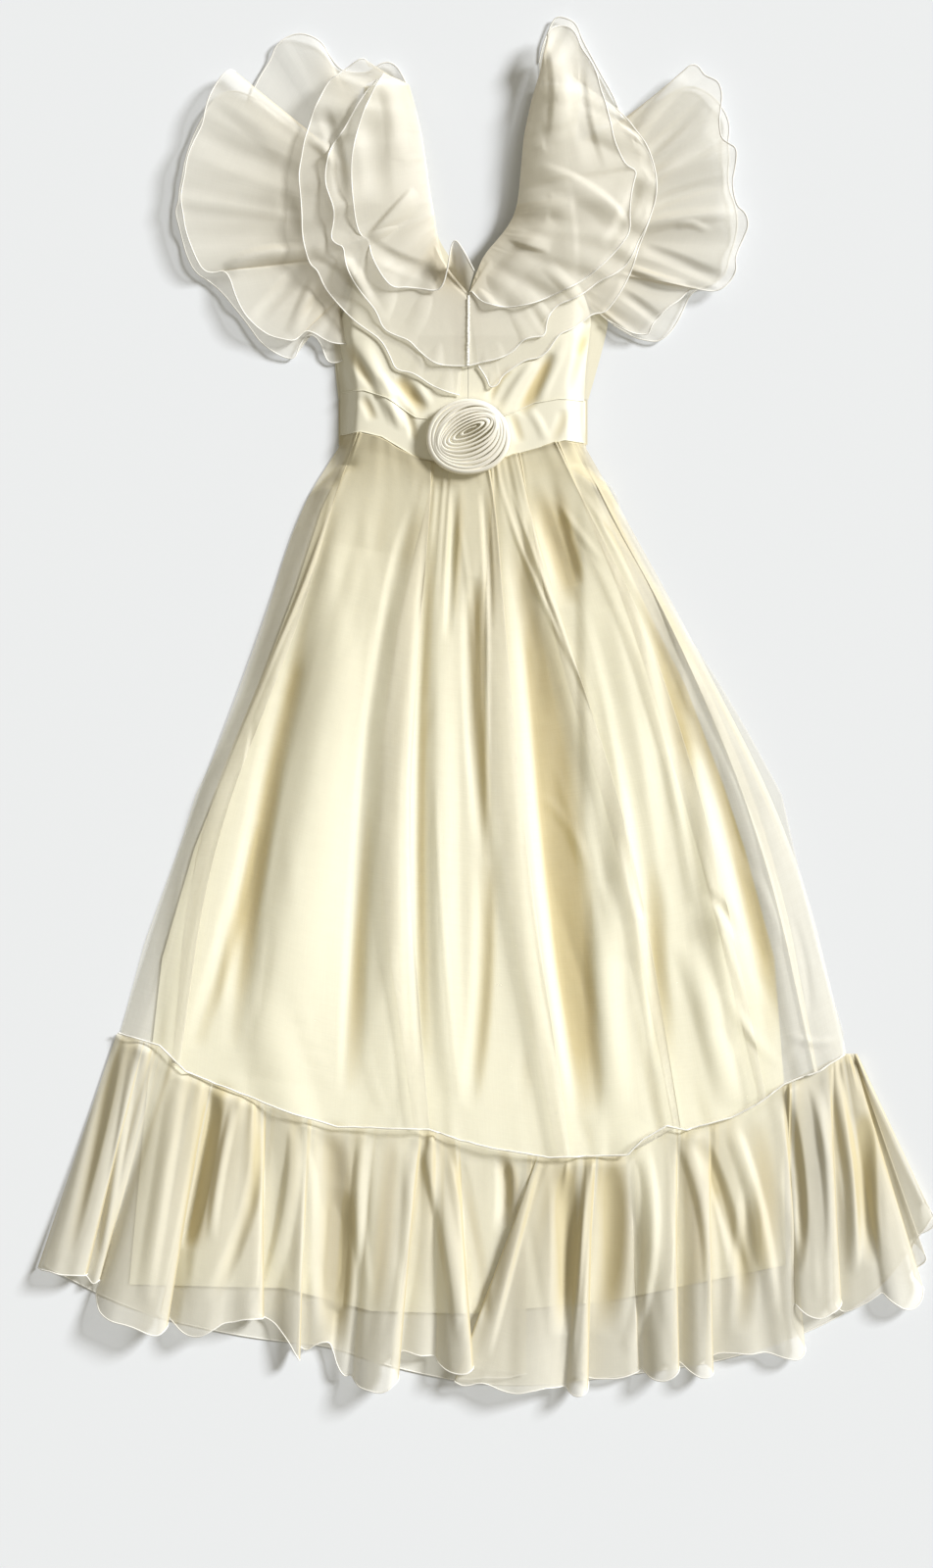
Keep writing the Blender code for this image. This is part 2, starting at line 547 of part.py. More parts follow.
def lining_front():
    return lining(
        lambda x: height_of(WAIST, x) - LINING_DROP,
        lambda x: height_of(LINING_HEM, x),
        lambda x, y, across: LINING_FRONT_Z + LINING_FULLNESS * fullness(x, y) * spread(across, LINING_POWER),
    )


def lining_back():
    return lining(
        lambda x: MIDRIFF_BACK_FOOT - LINING_DROP,
        lambda x: height_of(LINING_HEM, x),
        lambda x, y, across: LINING_BACK_Z,
    )


def bodice_half(rows, side, columns, height):
    """Half of the bodice: rows from the midriff to the shoulder, each from the centre to the side."""
    lines = []
    for across in np.linspace(0, 1, columns):
        line = []
        for row in rows:
            inner_x = CENTRE_X + side * SEAM_GAP / 2 if row.inner_x == CENTRE_X else row.inner_x
            x = inner_x + (row.outer_x - inner_x) * across
            y = row.inner_y + (row.outer_y - row.inner_y) * across
            line.append((x, y, height(x, y)))
        lines.append(resample(soften(line, SIDE_ROUNDING), BODICE_ROWS))
    return np.array(lines)


def bodice_front(rows, side):
    grid = bodice_half(rows, side, BODICE_COLUMNS, lambda x, y: front_z(x, y, -LAYER))
    grid[:, 0, 1] = height_of(MIDRIFF_TOP, grid[:, 0, 0]) + SEAM_GAP
    grid[-1, :, 2] = SIDE_Z
    grid[:, -1, 2] = SIDE_Z
    return grid


def bodice_back(rows, side):
    return bodice_half(rows, side, BODICE_BACK_COLUMNS, lambda x, y: BACK_Z)


def midriff_front():
    """The band between bodice and skirt, lying over both at its seams."""
    grid = []
    for x in np.linspace(MIDRIFF_LEFT, MIDRIFF_RIGHT, MIDRIFF_COLUMNS):
        down = np.linspace(height_of(MIDRIFF_TOP, x), height_of(WAIST, x), MIDRIFF_ROWS)
        grid.append([(x, y, front_z(x, y)) for y in down])
    grid = np.array(grid)
    grid[[0, -1], :, 2] = SIDE_Z
    return grid


def midriff_back():
    grid = []
    for x in np.linspace(MIDRIFF_BACK_LEFT, MIDRIFF_BACK_RIGHT, MIDRIFF_ROWS):
        grid.append([(x, y, BACK_Z) for y in (MIDRIFF_BACK_TOP, MIDRIFF_BACK_FOOT)])
    return np.array(grid)


def neck_ruffle(table, levels):
    """A ruffle tier: gathered along the neckline and standing off the bodice towards its hem."""
    seam_level, hem_level = levels
    lines = []
    for station in table:
        line = []
        for part in np.linspace(0, 1, RUFFLE_ROWS):
            x = station.seam_x + (station.hem_x - station.seam_x) * part
            y = station.seam_y + (station.hem_y - station.seam_y) * part
            stand = seam_level + (hem_level + station.lift - seam_level) * part
            line.append((x, y, FRONT_Z + fullness(x, y) + stand))
        lines.append(line)
    return soften_across(lines, RUFFLE_ROUNDING)


def flutter(table, rows, side, seam_z):
    """A flutter sleeve layer, spread from the armhole of a bodice half to its rolled hem."""
    armhole = resample(soften([(row.outer_x, row.outer_y) for row in rows], SIDE_ROUNDING), BODICE_ROWS)
    lines = []
    for station in table:
        seam_x = np.interp(station.seam_y, armhole[:, 1], armhole[:, 0]) + side * ARMHOLE_GAP
        line = []
        for part in np.linspace(0, 1, RUFFLE_ROWS):
            x = seam_x + (station.hem_x - seam_x) * part
            y = station.seam_y + (station.hem_y - station.seam_y) * part
            line.append((x, y, seam_z + (station.lift - seam_z) * part**FLUTTER_LIFT_POWER))
        lines.append(line)
    return soften_across(lines, RUFFLE_ROUNDING)


def back_ruffle(table):
    """The back's neck ruffle, flat on the floor at its seam and curling up at its hem."""
    lines = []
    for station in table:
        start = np.array((station.seam_x, station.seam_y, BACK_Z))
        end = np.array((station.hem_x, station.hem_y, station.lift))
        parts = np.linspace(0, 1, RUFFLE_ROWS)
        lines.append([start + (end - start) * (part, part, part**BACK_RUFFLE_LIFT_POWER) for part in parts])
    return soften_across(lines, RUFFLE_ROUNDING)


def rosette():
    """The wound strip as a sheet: its lower edge on the midriff, its upper edge leaning out."""
    lean = ROSE_LEAN * ROSE_EDGE_HEIGHT
    foot_gap = WALL / 2 + SEAM_GAP
    grid = []
    for step in range(ROSE_TURNS * ROSE_STEPS + 1):
        part = step / (ROSE_TURNS * ROSE_STEPS)
        angle = 2 * np.pi * step / ROSE_STEPS
        height = ROSE_CORE_HEIGHT + (ROSE_EDGE_HEIGHT - ROSE_CORE_HEIGHT) * part
        foot_radius = ROSE_CORE + (ROSE_RADIUS - ROSE_CORE - lean) * part
        line = []
        for up in (0.0, 1.0):
            radius = foot_radius + lean * up
            x, y = radius * np.cos(angle), ROSE_SQUASH * radius * np.sin(angle)
            line.append((x, y, FRONT_Z + fullness(x, y) + foot_gap + height * up))
        grid.append(line)
    return np.array(grid)


clear_scene()
collection = bpy.data.collections.new("prom_dress")
bpy.context.scene.collection.children.link(collection)

cloth("overskirt_front", overskirt_front(), ORGANZA)
cloth("overskirt_back", overskirt_back(), ORGANZA)
cloth("lining_front", lining_front(), LINING)
cloth("lining_back", lining_back(), LINING)
cloth("flounce_front", flounce_front(), ORGANZA)
cloth("flounce_back", flounce_back(), ORGANZA)

cloth("bodice_front_right", bodice_front(BODICE_RIGHT, 1), SATIN)
cloth("bodice_front_left", bodice_front(BODICE_LEFT, -1), SATIN)
cloth("bodice_back_right", bodice_back(BACK_RIGHT, 1), SATIN)
cloth("bodice_back_left", bodice_back(BACK_LEFT, -1), SATIN)
cloth("midriff_front", midriff_front(), SATIN)
cloth("midriff_back", midriff_back(), SATIN)

for tier, levels in TIER_LEVELS.items():
    cloth(f"neck_ruffle_left_{tier}", neck_ruffle(NECK_LEFT[tier], levels), ORGANZA)
    cloth(f"neck_ruffle_right_{tier}", neck_ruffle(NECK_RIGHT[tier], levels), ORGANZA)
for layer, seam_z in FLUTTER_SEAM_Z.items():
    cloth(f"flutter_left_{layer}", flutter(FLUTTER_LEFT[layer], BODICE_LEFT, -1, seam_z), ORGANZA)
    cloth(f"flutter_right_{layer}", flutter(FLUTTER_RIGHT[layer], BODICE_RIGHT, 1, seam_z), ORGANZA)
cloth("back_ruffle_left", back_ruffle(BACK_RUFFLE_LEFT), ORGANZA)
cloth("back_ruffle_right", back_ruffle(BACK_RUFFLE_RIGHT), ORGANZA)
cloth("rosette", rosette(), FOLDED_ORGANZA)

# Centre the dress on the origin, by the walls' own extent
graph = bpy.context.evaluated_depsgraph_get()
walled = [piece.evaluated_get(graph) for piece in collection.objects]
corners = np.array([corner[:] for piece in walled for corner in piece.bound_box])
centre_x, centre_y, _centre_z = (corners.min(axis=0) + corners.max(axis=0)) / 2
for piece in collection.objects:
    piece.location = (-centre_x, -centre_y, 0)
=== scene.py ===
"""Prom dress of sheer ivory organza over a pale lining, laid flat on its back, seen from straight above.

Lengths are millimetres in the dress's own frame: x to the viewer's right, y up the dress, z up from the
floor, with the centre of the waist rosette at x = 0, y = 0. new_piece puts every piece in its place.
"""

import math

import bmesh
import bpy
import numpy as np
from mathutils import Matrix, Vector


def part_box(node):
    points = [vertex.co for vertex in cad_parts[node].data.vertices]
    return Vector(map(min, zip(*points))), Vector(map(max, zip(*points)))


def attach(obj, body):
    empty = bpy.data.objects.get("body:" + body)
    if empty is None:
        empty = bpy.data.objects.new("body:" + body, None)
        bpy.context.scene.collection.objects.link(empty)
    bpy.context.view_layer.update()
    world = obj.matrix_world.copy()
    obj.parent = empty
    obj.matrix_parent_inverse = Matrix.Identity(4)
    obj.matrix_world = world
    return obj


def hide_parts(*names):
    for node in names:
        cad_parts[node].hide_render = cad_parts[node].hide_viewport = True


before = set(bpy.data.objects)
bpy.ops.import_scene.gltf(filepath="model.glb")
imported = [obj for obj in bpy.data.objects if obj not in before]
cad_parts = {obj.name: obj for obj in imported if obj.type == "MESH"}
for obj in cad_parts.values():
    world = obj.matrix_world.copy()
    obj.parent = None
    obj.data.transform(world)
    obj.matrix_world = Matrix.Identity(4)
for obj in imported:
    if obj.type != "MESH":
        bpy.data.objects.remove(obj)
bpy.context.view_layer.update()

# ---- The place where it lies: a white floor, one large soft light from the right, and the camera above.
# The photograph's middle is below the rosette, and its height covers FRAME_HEIGHT of floor.
MM = 0.001
MIDRIFF_BACK_LEFT, MIDRIFF_BACK_FOOT = -151.0, -8.0  # the back band's corner, which places the dress
FRAME_MIDDLE = (-1.0, -406.0)
FRAME_HEIGHT = 1840.0
CAMERA_HEIGHT = 5200.0
SENSOR_HEIGHT = 36.0
WINDOW_PLACE = (2600, 1500, 1850)
WINDOW_WIDTH = 15  # degrees of sky, which softens the shadows
FLOOR_SIZE, FLOOR_DROP = 9.0, 0.0004  # metres; the dress rests a hair above the floor

scene = bpy.context.scene
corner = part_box("midriff_back")[0]
HERE = np.array((corner.x - MIDRIFF_BACK_LEFT * MM, corner.y - MIDRIFF_BACK_FOOT * MM, 0.0))


def place(x, y, z):
    """A point of the dress in the frame's metres."""
    return Vector(HERE + np.array((x, y, z)) * MM)


def new_material(name, settings):
    """A material, with values for sockets of its shader."""
    material = bpy.data.materials.new(name)
    material.use_nodes = True
    for socket, value in settings.items():
        material.node_tree.nodes["Principled BSDF"].inputs[socket].default_value = value
    return material


camera_data = bpy.data.cameras.new("camera")
camera_data.sensor_fit = "VERTICAL"
camera_data.sensor_height = SENSOR_HEIGHT
camera_data.sensor_width = SENSOR_HEIGHT
camera_data.lens = SENSOR_HEIGHT * CAMERA_HEIGHT / FRAME_HEIGHT
camera = bpy.data.objects.new("camera", camera_data)
camera.location = place(*FRAME_MIDDLE, CAMERA_HEIGHT)
scene.collection.objects.link(camera)
scene.camera = camera

sun = bpy.data.lights.new("window", "SUN")
sun.energy = 4.5
sun.angle = math.radians(WINDOW_WIDTH)
sun.color = (0.985, 0.99, 1.0)
window = bpy.data.objects.new("window", sun)
window.location = place(*WINDOW_PLACE)
window.rotation_euler = (place(0, 0, 0) - place(*WINDOW_PLACE)).to_track_quat("-Z", "Y").to_euler()
scene.collection.objects.link(window)

world = bpy.data.worlds.new("room")
world.use_nodes = True
world.node_tree.nodes["Background"].inputs["Color"].default_value = (1.0, 0.935, 0.76, 1)
world.node_tree.nodes["Background"].inputs["Strength"].default_value = 0.33
scene.world = world
scene.view_settings.view_transform = "Standard"
scene.cycles.transparent_max_bounces = 40
scene.cycles.max_bounces = 10

bpy.ops.mesh.primitive_plane_add(size=FLOOR_SIZE, location=(0, 0, -FLOOR_DROP))
floor = bpy.context.object
floor.name = "floor"
floor.data.materials.append(new_material("floor", {"Base Color": (0.785, 0.81, 0.85, 1), "Roughness": 0.75}))

# ---- Lining front and back: two flared panels of pale yellow taffeta, sewn in at the waist and hanging
# free inside the overskirt. The front lies in broad soft folds that show through the organza.
SIDE_Z = 2.1  # edges of a front piece, down on the back piece
FRONT_Z = 6.0  # front pieces away from their edges, before the fullness is added
EDGE_ROLL = 22.0  # width over which a front piece rises from its side seam
SEAM_GAP = 0.4
LAYER = 1.8
LINING_FRONT_Z, LINING_BACK_Z = 1.9, 1.3
LINING_FULLNESS = 0.85
LINING_TUCK = 2  # how far the lining reaches under the waist seam
LINING_FALL, LINING_SLACK = 18, 1.1  # how wide the organza falls beside the lining, and how far out it starts
HANG_START, HANG_GROWTH, HANG_SHARE = -20, 120, 0.95  # the folds start here and are full so far below
SHADE_SHIFT = 7.0  # the painted shade of a trough is put on its side away from the light
SHADE_DEPTH = 5.5  # the depth of a trough that takes the whole painted shade
CREASE_STEPS = 8  # straight steps that a crease's curve is measured by
LEAST_UPRIGHT, MOST_DENSE = 0.25, 5  # a steeper slope than this looks no denser, and no cloth is denser
RELIEF = 0.0004  # metres, the height of threads and slubs

# The dress from the shoulders down: y, left and right side, and how far its middle is filled out
OUTLINE = [
    (478, -122, 134, 2), (413, -120, 132, 5), (300, -126, 128, 9), (213, -142, 136, 13),
    (164, -154, 148, 17), (117, -156, 146, 20), (44, -148, 137, 17), (0, -151, 138, 16),
    (-32, -152, 140, 15), (-61, -183, 174, 14), (-107, -204, 187, 14), (-153, -219, 210, 13),
    (-222, -237, 254, 13), (-291, -261, 298, 13), (-351, -286, 333, 12), (-417, -318, 369, 12),
    (-475, -336, 382, 12), (-590, -378, 409, 11), (-700, -408, 442, 9), (-850, -460, 490, 7),
    (-985, -505, 545, 4), (-1130, -505, 545, 1),
]
WAIST = [(-150, 3), (-125, 6), (-100, 0), (-60, -24), (0, -36), (49, -22), (78, -14), (113, -4), (140, -6)]
LINING_HEM = [(-400, -993), (-215, -997), (-112, -1024), (0, -1027), (164, -1013), (360, -973), (375, -970)]
# Its lining: y, left and right side
LINING_SIDES = [
    (-10, -134, 126), (-84, -171, 159), (-176, -201, 199), (-291, -244, 256), (-406, -290, 300),
    (-481, -320, 325), (-610, -358, 360), (-751, -374, 371), (-1030, -400, 374),
]
# Broad folds of the lining. Each crease here and below has x and y of three points that it runs through, its
# width to the left and to the right, and its height: ridges stand up, troughs are below zero.
LINING_FOLDS = [
    (-240, -291, -298, -475, -330, -705, 42, 50, 5), (-125, -130, -178, -406, -236, -751, 58, 80, 16),
    (-160, -160, -236, -400, -272, -728, 20, 24, -7), (-247, -452, -282, -578, -323, -716, 14, 16, -5),
    (-71, -107, -86, -463, -94, -785, 46, 26, 8), (-102, -199, -131, -521, -144, -774, 10, 26, -5),
    (-47, -107, -61, -406, -54, -739, 9, 11, -5), (-28, -107, -33, -463, -22, -774, 18, 26, 6),
    (10, -164, 6, -279, 20, -498, 15, 10, -7), (17, -475, 17, -636, 1, -785, 16, 12, -4),
    (40, -153, 56, -463, 82, -751, 34, 22, 3), (68, -199, 95, -521, 135, -797, 16, 52, -10),
    (54, -107, 66, -222, 82, -337, 18, 22, -4), (95, -49, 112, -113, 128, -176, 30, 10, -7),
    (139, -49, 141, -291, 148, -475, 15, 60, 5), (167, -199, 190, -406, 181, -613, 34, 44, 8),
    (187, -130, 245, -360, 285, -660, 16, 24, -6), (141, -176, 197, -452, 222, -740, 14, 22, -6),
    (245, -360, 282, -521, 300, -693, 34, 36, 8), (215, -176, 310, -475, 362, -720, 20, 24, -7),
    (72, -55, 92, -110, 118, -200, 20, 16, -8), (-14, -50, -17, -110, -24, -240, 6, 8, -5),
    (15, -50, 22, -110, 26, -230, 7, 7, -5), (-60, -80, -90, -180, -110, -330, 10, 20, -4),
    (160, -520, 158, -660, 176, -808, 22, 30, 6), (256, -590, 285, -693, 308, -785, 20, 24, 6),
    (-140, -61, -169, -176, -204, -279, 16, 22, 5), (-261, -636, -204, -808, -169, -981, 40, 40, 4),
    (187, -797, 210, -912, 245, -981, 30, 30, 5), (-291, -752, -313, -866, -332, -950, 10, 20, -9),
    (-169, -800, -158, -900, -163, -1030, 26, 26, -8), (38, -845, 46, -885, 41, -930, 14, 12, -8),
    (113, -856, 116, -958, 113, -1048, 22, 18, -9), (164, -846, 167, -946, 153, -1048, 24, 26, -9),
    (-94, -812, -102, -923, -112, -1025, 16, 14, -6), (245, -833, 262, -935, 256, -1014, 16, 18, -6),
    (330, -800, 345, -890, 340, -990, 20, 20, -6),
]


def line_y(line, x):
    """The y of a seam line, given as (x, y) points, at x."""
    return np.interp(x, [point[0] for point in line], [point[1] for point in line])


def outline_at(table, y):
    """What a table of sides says at y."""
    rows = np.array(sorted(table))
    return [np.interp(y, rows[:, 0], values) for values in rows[:, 1:].T]


def troughs(height, depth, most=1.0):
    """How far down its troughs a height lies, as a share of a depth."""
    return np.clip(-height / depth, 0, most)


def spread(across, power):
    """A share that is 1 in the middle of a width and 0 at both of its sides."""
    return 1 - np.abs(2 * across - 1) ** power


def smooth(part):
    part = np.clip(part, 0, 1)
    return part * part * (3 - 2 * part)


def fullness(x, y):
    left, right, crown = outline_at(OUTLINE, y)
    return crown * spread(np.clip((x - left) / (right - left), 0, 1), power=14)


def front_z(x, y, layer=0.0):
    """Height of a front piece: down on the back at the side seams, filled out away from them."""
    left, right, _crown = outline_at(OUTLINE, y)
    rise = smooth(np.minimum(x - left, right - x) / EDGE_ROLL)
    return SIDE_Z + (FRONT_Z + layer - SIDE_Z + fullness(x, y)) * rise


def level(height):
    """One height all over, for what lies flat."""
    return lambda x, *_others: 0 * x + height


def bent(part, start, pull, end):
    """A point part of the way along the curve from start to end that pull draws towards itself."""
    return (1 - part) ** 2 * start + 2 * part * (1 - part) * pull + part**2 * end


def creased(table, x, y):
    """Sum of the soft creases at each point: each runs through its three points and dies out at its ends."""
    total = np.zeros_like(x)
    for x1, y1, x2, y2, x3, y3, left, right, height in table:
        ends = np.array([(x1, y1), (x3, y3)], float)
        pull = 2 * np.array((x2, y2)) - ends.mean(axis=0)
        line = bent(np.linspace(0, 1, CREASE_STEPS + 1)[:, None], ends[0], pull, ends[1])
        low, high = line.min(axis=0) - max(left, right), line.max(axis=0) + max(left, right)
        near = (x > low[0]) & (x < high[0]) & (y > low[1]) & (y < high[1])
        if not near.any():
            continue
        spots = np.column_stack((x[near], y[near]))
        best = np.full(len(spots), np.inf)
        away, along = np.zeros((2, len(spots)))
        for number, (start, end) in enumerate(zip(line[:-1], line[1:])):
            step = end - start
            share = np.clip((spots - start) @ step / (step @ step), 0, 1)
            gap = spots - start - share[:, None] * step
            distance = np.hypot(gap[:, 0], gap[:, 1])
            closer = distance < best
            best[closer] = distance[closer]
            side = np.sign(step[0] * gap[:, 1] - step[1] * gap[:, 0]) * (1 if step[1] < 0 else -1)
            away[closer] = (distance * side)[closer]
            along[closer] = ((number + share) / CREASE_STEPS)[closer]
        profile = np.clip(1 - (best / np.where(away < 0, left, right)) ** 2, 0, 1) ** 2
        total[near] += height * profile * spread(along, power=2.5)
    return total


def new_piece(name, points, faces, material):
    """A smooth piece through points of the dress, put at its place in the frame, on the one body."""
    mesh = bpy.data.meshes.new(name)
    mesh.from_pydata((HERE + points.reshape(-1, 3) * MM).tolist(), [], faces)
    mesh.validate()
    mesh.shade_smooth()
    mesh.materials.append(material)
    piece = bpy.data.objects.new(name, mesh)
    scene.collection.objects.link(piece)
    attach(piece, "root")
    return piece


def quads(here, there):
    """Faces between rows of numbered points and the rows next to them."""
    return np.stack((here[:, :-1], here[:, 1:], there[:, 1:], there[:, :-1]), axis=-1).reshape(-1, 4).tolist()


def running(steps):
    """How far along a line each of its points is, from the steps between them."""
    return np.concatenate(([0], np.cumsum(steps)))


def add_value(piece, name, values):
    piece.data.attributes.new(name, "FLOAT", "POINT").data.foreach_set("value", values.astype(float).ravel())


def sew(node, grid, cloth, gathered=1.0, painted_shade=None):
    """The sheet of cloth that stands for a node, through a grid of points, with its cloth's own UVs and how
    densely it lies: the times that it is gathered in at each point, with painted shade added as more
    gathering in the flounce's troughs, over how upright its slope leaves it."""
    grid = np.asarray(grid, float)
    columns, rows = grid.shape[:2]
    number = np.arange(columns * rows).reshape(columns, rows)
    piece = new_piece(f"{node}_cloth", grid, quads(number[:-1], number[1:]), cloth)
    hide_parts(node)
    u = running(np.linalg.norm(np.diff(grid, axis=0), axis=2).mean(axis=1)) * MM
    v = running(np.linalg.norm(np.diff(grid, axis=1), axis=2).mean(axis=0)) * MM
    corners = np.array([loop.vertex_index for loop in piece.data.loops])
    uv = np.column_stack((u[corners // rows], v[corners % rows]))
    piece.data.uv_layers.new(name="cloth").data.foreach_set("uv", uv.ravel())
    normal = np.cross(np.gradient(grid, axis=0), np.gradient(grid, axis=1))
    upright = np.abs(normal[..., 2]) / np.maximum(np.linalg.norm(normal, axis=2), 1e-9)
    add_value(piece, "dense", np.clip(gathered / np.maximum(upright, LEAST_UPRIGHT), 1, MOST_DENSE))
    if painted_shade is not None:
        add_value(piece, "painted_shade", painted_shade)
    return piece


def new_group(name, inputs, outputs):
    group = bpy.data.node_groups.new(name, "ShaderNodeTree")
    for way, labels in (("INPUT", inputs), ("OUTPUT", outputs)):
        for label in labels:
            group.interface.new_socket(label, in_out=way, socket_type="NodeSocketFloat")
    return group, group.nodes.new("NodeGroupInput"), group.nodes.new("NodeGroupOutput")


def add_node(tree, kind, links=(), **settings):
    """A shader node with its settings, sockets by name or number, and links into it."""
    node = tree.nodes.new(kind)
    for key, value in settings.items():
        if key.startswith("in_"):
            socket = key[3:]
            node.inputs[int(socket) if socket.isdigit() else socket].default_value = value
        else:
            setattr(node, key, value)
    for socket, source in links:
        tree.links.new(source, node.inputs[socket])
    return node


def maths(tree, operation, *values, clamp=False):
    """What a Math node makes of two values, each a socket or a number."""
    node = add_node(tree, "ShaderNodeMath", operation=operation, use_clamp=clamp)
    for socket, value in zip(node.inputs, values):
        if isinstance(value, bpy.types.NodeSocket):
            tree.links.new(value, socket)
        else:
            socket.default_value = value
    return node.outputs[0]


# Threads: fine uneven threads both ways along the cloth, from its own UVs, as a mask and a height
threads, threads_in, threads_out = new_group("threads", ("Width", "Length"), ("Mask", "Height"))
uv_map = add_node(threads, "ShaderNodeUVMap", uv_map="cloth")
fine = maths(threads, "DIVIDE", 1.0, threads_in.outputs["Width"])
long = maths(threads, "DIVIDE", 1.0, threads_in.outputs["Length"])
parts = []
for ways in ((fine, long), (long, fine)):
    scale = add_node(threads, "ShaderNodeCombineXYZ", enumerate(ways))
    spot = add_node(
        threads, "ShaderNodeVectorMath", [(0, uv_map.outputs[0]), (1, scale.outputs[0])], operation="MULTIPLY"
    )
    noise = add_node(
        threads, "ShaderNodeTexNoise", [("Vector", spot.outputs[0])], noise_dimensions="2D",
        in_Scale=1.0, in_Detail=1.0,
    )
    parts.append(noise.outputs["Fac"])
both = maths(threads, "ADD", *parts)
threads.links.new(maths(threads, "SUBTRACT", both, 1.0), threads_out.inputs["Mask"])
threads.links.new(both, threads_out.inputs["Height"])


def finish_material(material, share, colours, height, strength=0.12):
    """Gives a material two colours, the second as share goes to 1, and a relief from height."""
    tree, shader = material.node_tree, material.node_tree.nodes["Principled BSDF"]
    start, end = [(*colour, 1) for colour in colours]
    colour = add_node(tree, "ShaderNodeMix", [(0, share)], data_type="RGBA", in_6=start, in_7=end)
    tree.links.new(colour.outputs[2], shader.inputs["Base Color"])
    bump = add_node(tree, "ShaderNodeBump", [("Height", height)], in_Strength=strength, in_Distance=RELIEF)
    tree.links.new(bump.outputs[0], shader.inputs["Normal"])
    return material


def lustre(name, light, deep, roughness, sheen):
    """An opaque smooth cloth: a light colour that darkens to a painted shade colour where shade is painted,
    thread bump and a soft sheen.
    """
    material = new_material(
        name,
        {"Roughness": roughness, "Sheen Weight": sheen, "Sheen Roughness": 0.4, "Specular IOR Level": 0.3},
    )
    tree = material.node_tree
    weave = add_node(tree, "ShaderNodeGroup", node_tree=threads, in_Width=0.0009, in_Length=0.03)
    painted_shade = add_node(tree, "ShaderNodeAttribute", attribute_name="painted_shade")
    uneven = maths(tree, "MULTIPLY", weave.outputs["Mask"], 0.06)
    depth = maths(tree, "ADD", painted_shade.outputs["Fac"], uneven, clamp=True)
    return finish_material(material, depth, (light, deep), weave.outputs["Height"])


def shares(columns, rows):
    """The share across and the share down of each point of a grid."""
    return np.meshgrid(np.linspace(0, 1, columns), np.linspace(0, 1, rows), indexing="ij")


def lining_grid(top, height, columns, rows):
    """A panel of the lining between its side edges, a seam line and the hem."""
    across, down = shares(columns, rows)
    y = np.full_like(across, -500.0)
    for _ in range(8):  # x depends on y and y on x: both settle from any first y
        left, right = outline_at(LINING_SIDES, y)
        x = left + (right - left) * across
        start = line_y(top, x) - LINING_TUCK
        y = start + (line_y(LINING_HEM, x) - start) * down
    return np.stack((x, y, height(x, y, across)), axis=-1)


def rumples(x, y, seed, count, low, high):
    """Small soft rumples scattered over a hanging cloth from low to high, each drawn out along its fall."""
    draw = np.random.default_rng(seed)
    total = np.zeros_like(x)
    for _ in range(count):
        middle_y = draw.uniform(low, high)
        left, right, _crown = outline_at(OUTLINE, middle_y)
        middle_x = draw.uniform(left, right)
        lean = middle_x / (right - left) * 0.5 + draw.uniform(-0.25, 0.25)
        width, length = draw.uniform(5, 13), draw.uniform(25, 80)
        shift = x - middle_x + lean * (y - middle_y)
        total += draw.uniform(-1, 1) * np.exp(-((shift / width) ** 2) - ((y - middle_y) / length) ** 2)
    return total


def lining_hang(x, y):
    """The lining's folds, growing from nothing at the waist."""
    folds = creased(LINING_FOLDS, x, y) * smooth((HANG_START - y) / HANG_GROWTH) * HANG_SHARE
    return folds + rumples(x, y, seed=61, count=150, low=-960, high=-80)


def lining_front_z(x, y, across):
    shape = LINING_FRONT_Z + LINING_FULLNESS * fullness(x, y) * spread(across, power=4)
    return np.maximum(shape + lining_hang(x, y) * spread(across, power=8), LINING_FRONT_Z)


def lining_top(x, y):
    """Height of the lining's upper side, falling to nothing outside its edges."""
    left, right = outline_at(LINING_SIDES, y)
    beside, above = np.minimum(x - left, right - x), y - line_y(LINING_HEM, x)
    inside = smooth(beside / LINING_FALL + LINING_SLACK) * smooth(above / LINING_FALL + LINING_SLACK)
    return lining_front_z(x, y, np.clip((x - left) / (right - left), 0, 1)) * inside


# The lining's second colour is painted shade, put in the troughs of its folds a little to the side away from
# the light.
lining_cloth = lustre("lining", (0.965, 0.945, 0.78), (0.74, 0.60, 0.24), roughness=0.55, sheen=0.1)
grid = lining_grid(WAIST, lining_front_z, columns=300, rows=310)
painted_shade = troughs(lining_hang(grid[..., 0] - SHADE_SHIFT, grid[..., 1]), SHADE_DEPTH, most=0.95)
lining_front = sew("lining_front", grid, lining_cloth, painted_shade=painted_shade)
grid = lining_grid([(0, MIDRIFF_BACK_FOOT)], level(LINING_BACK_Z), columns=30, rows=40)
lining_back = sew("lining_back", grid, lining_cloth, painted_shade=np.zeros(grid.shape[:2]))

# ---- Overskirt: a front and a back of sheer crisp organza, gathered in at the waist. The front lies in
# overlapping folds that turn under at a crisp edge; where they overlap the cloth shows whiter.
BACK_Z = 0.6
BACK_LINES = 60
HIGH_Y, HIP_Y, KNEE_Y = -84, -222, -475
SKIRT_ROWS = 290
SKIRT_ROUNDING = 7
SKIRT_EDGE = 30  # width over which folds and gathers die out towards a side
SKIRT_UNGATHERED = 780  # the skirt isn't gathered in where it lies this wide
WAIST_GATHERS, SEAM_GATHERS = 1.6, 1.3
LINING_FOLLOWED = 0.9  # the share of the lining's folds that the organza takes
ORGANZA_GAP, ORGANZA_EASE = 1.3, 4.5  # its least height over the lining, and how softly it is lifted there
SKIRT_GROWTH = [0.0, 0.5, 0.9, 1.0, 0.7]  # how far a fold turns under at waist, high, hip, knee and seam
FOLD_FLAT = np.array([-3.0, -1.0, 1.0, 3.0])
FOLD_TURNED = np.array([0.0, 0.0, 1.0, 1.0])
FOLD_LEVELS = (1.0, 0.72, 0.42, 0.0)

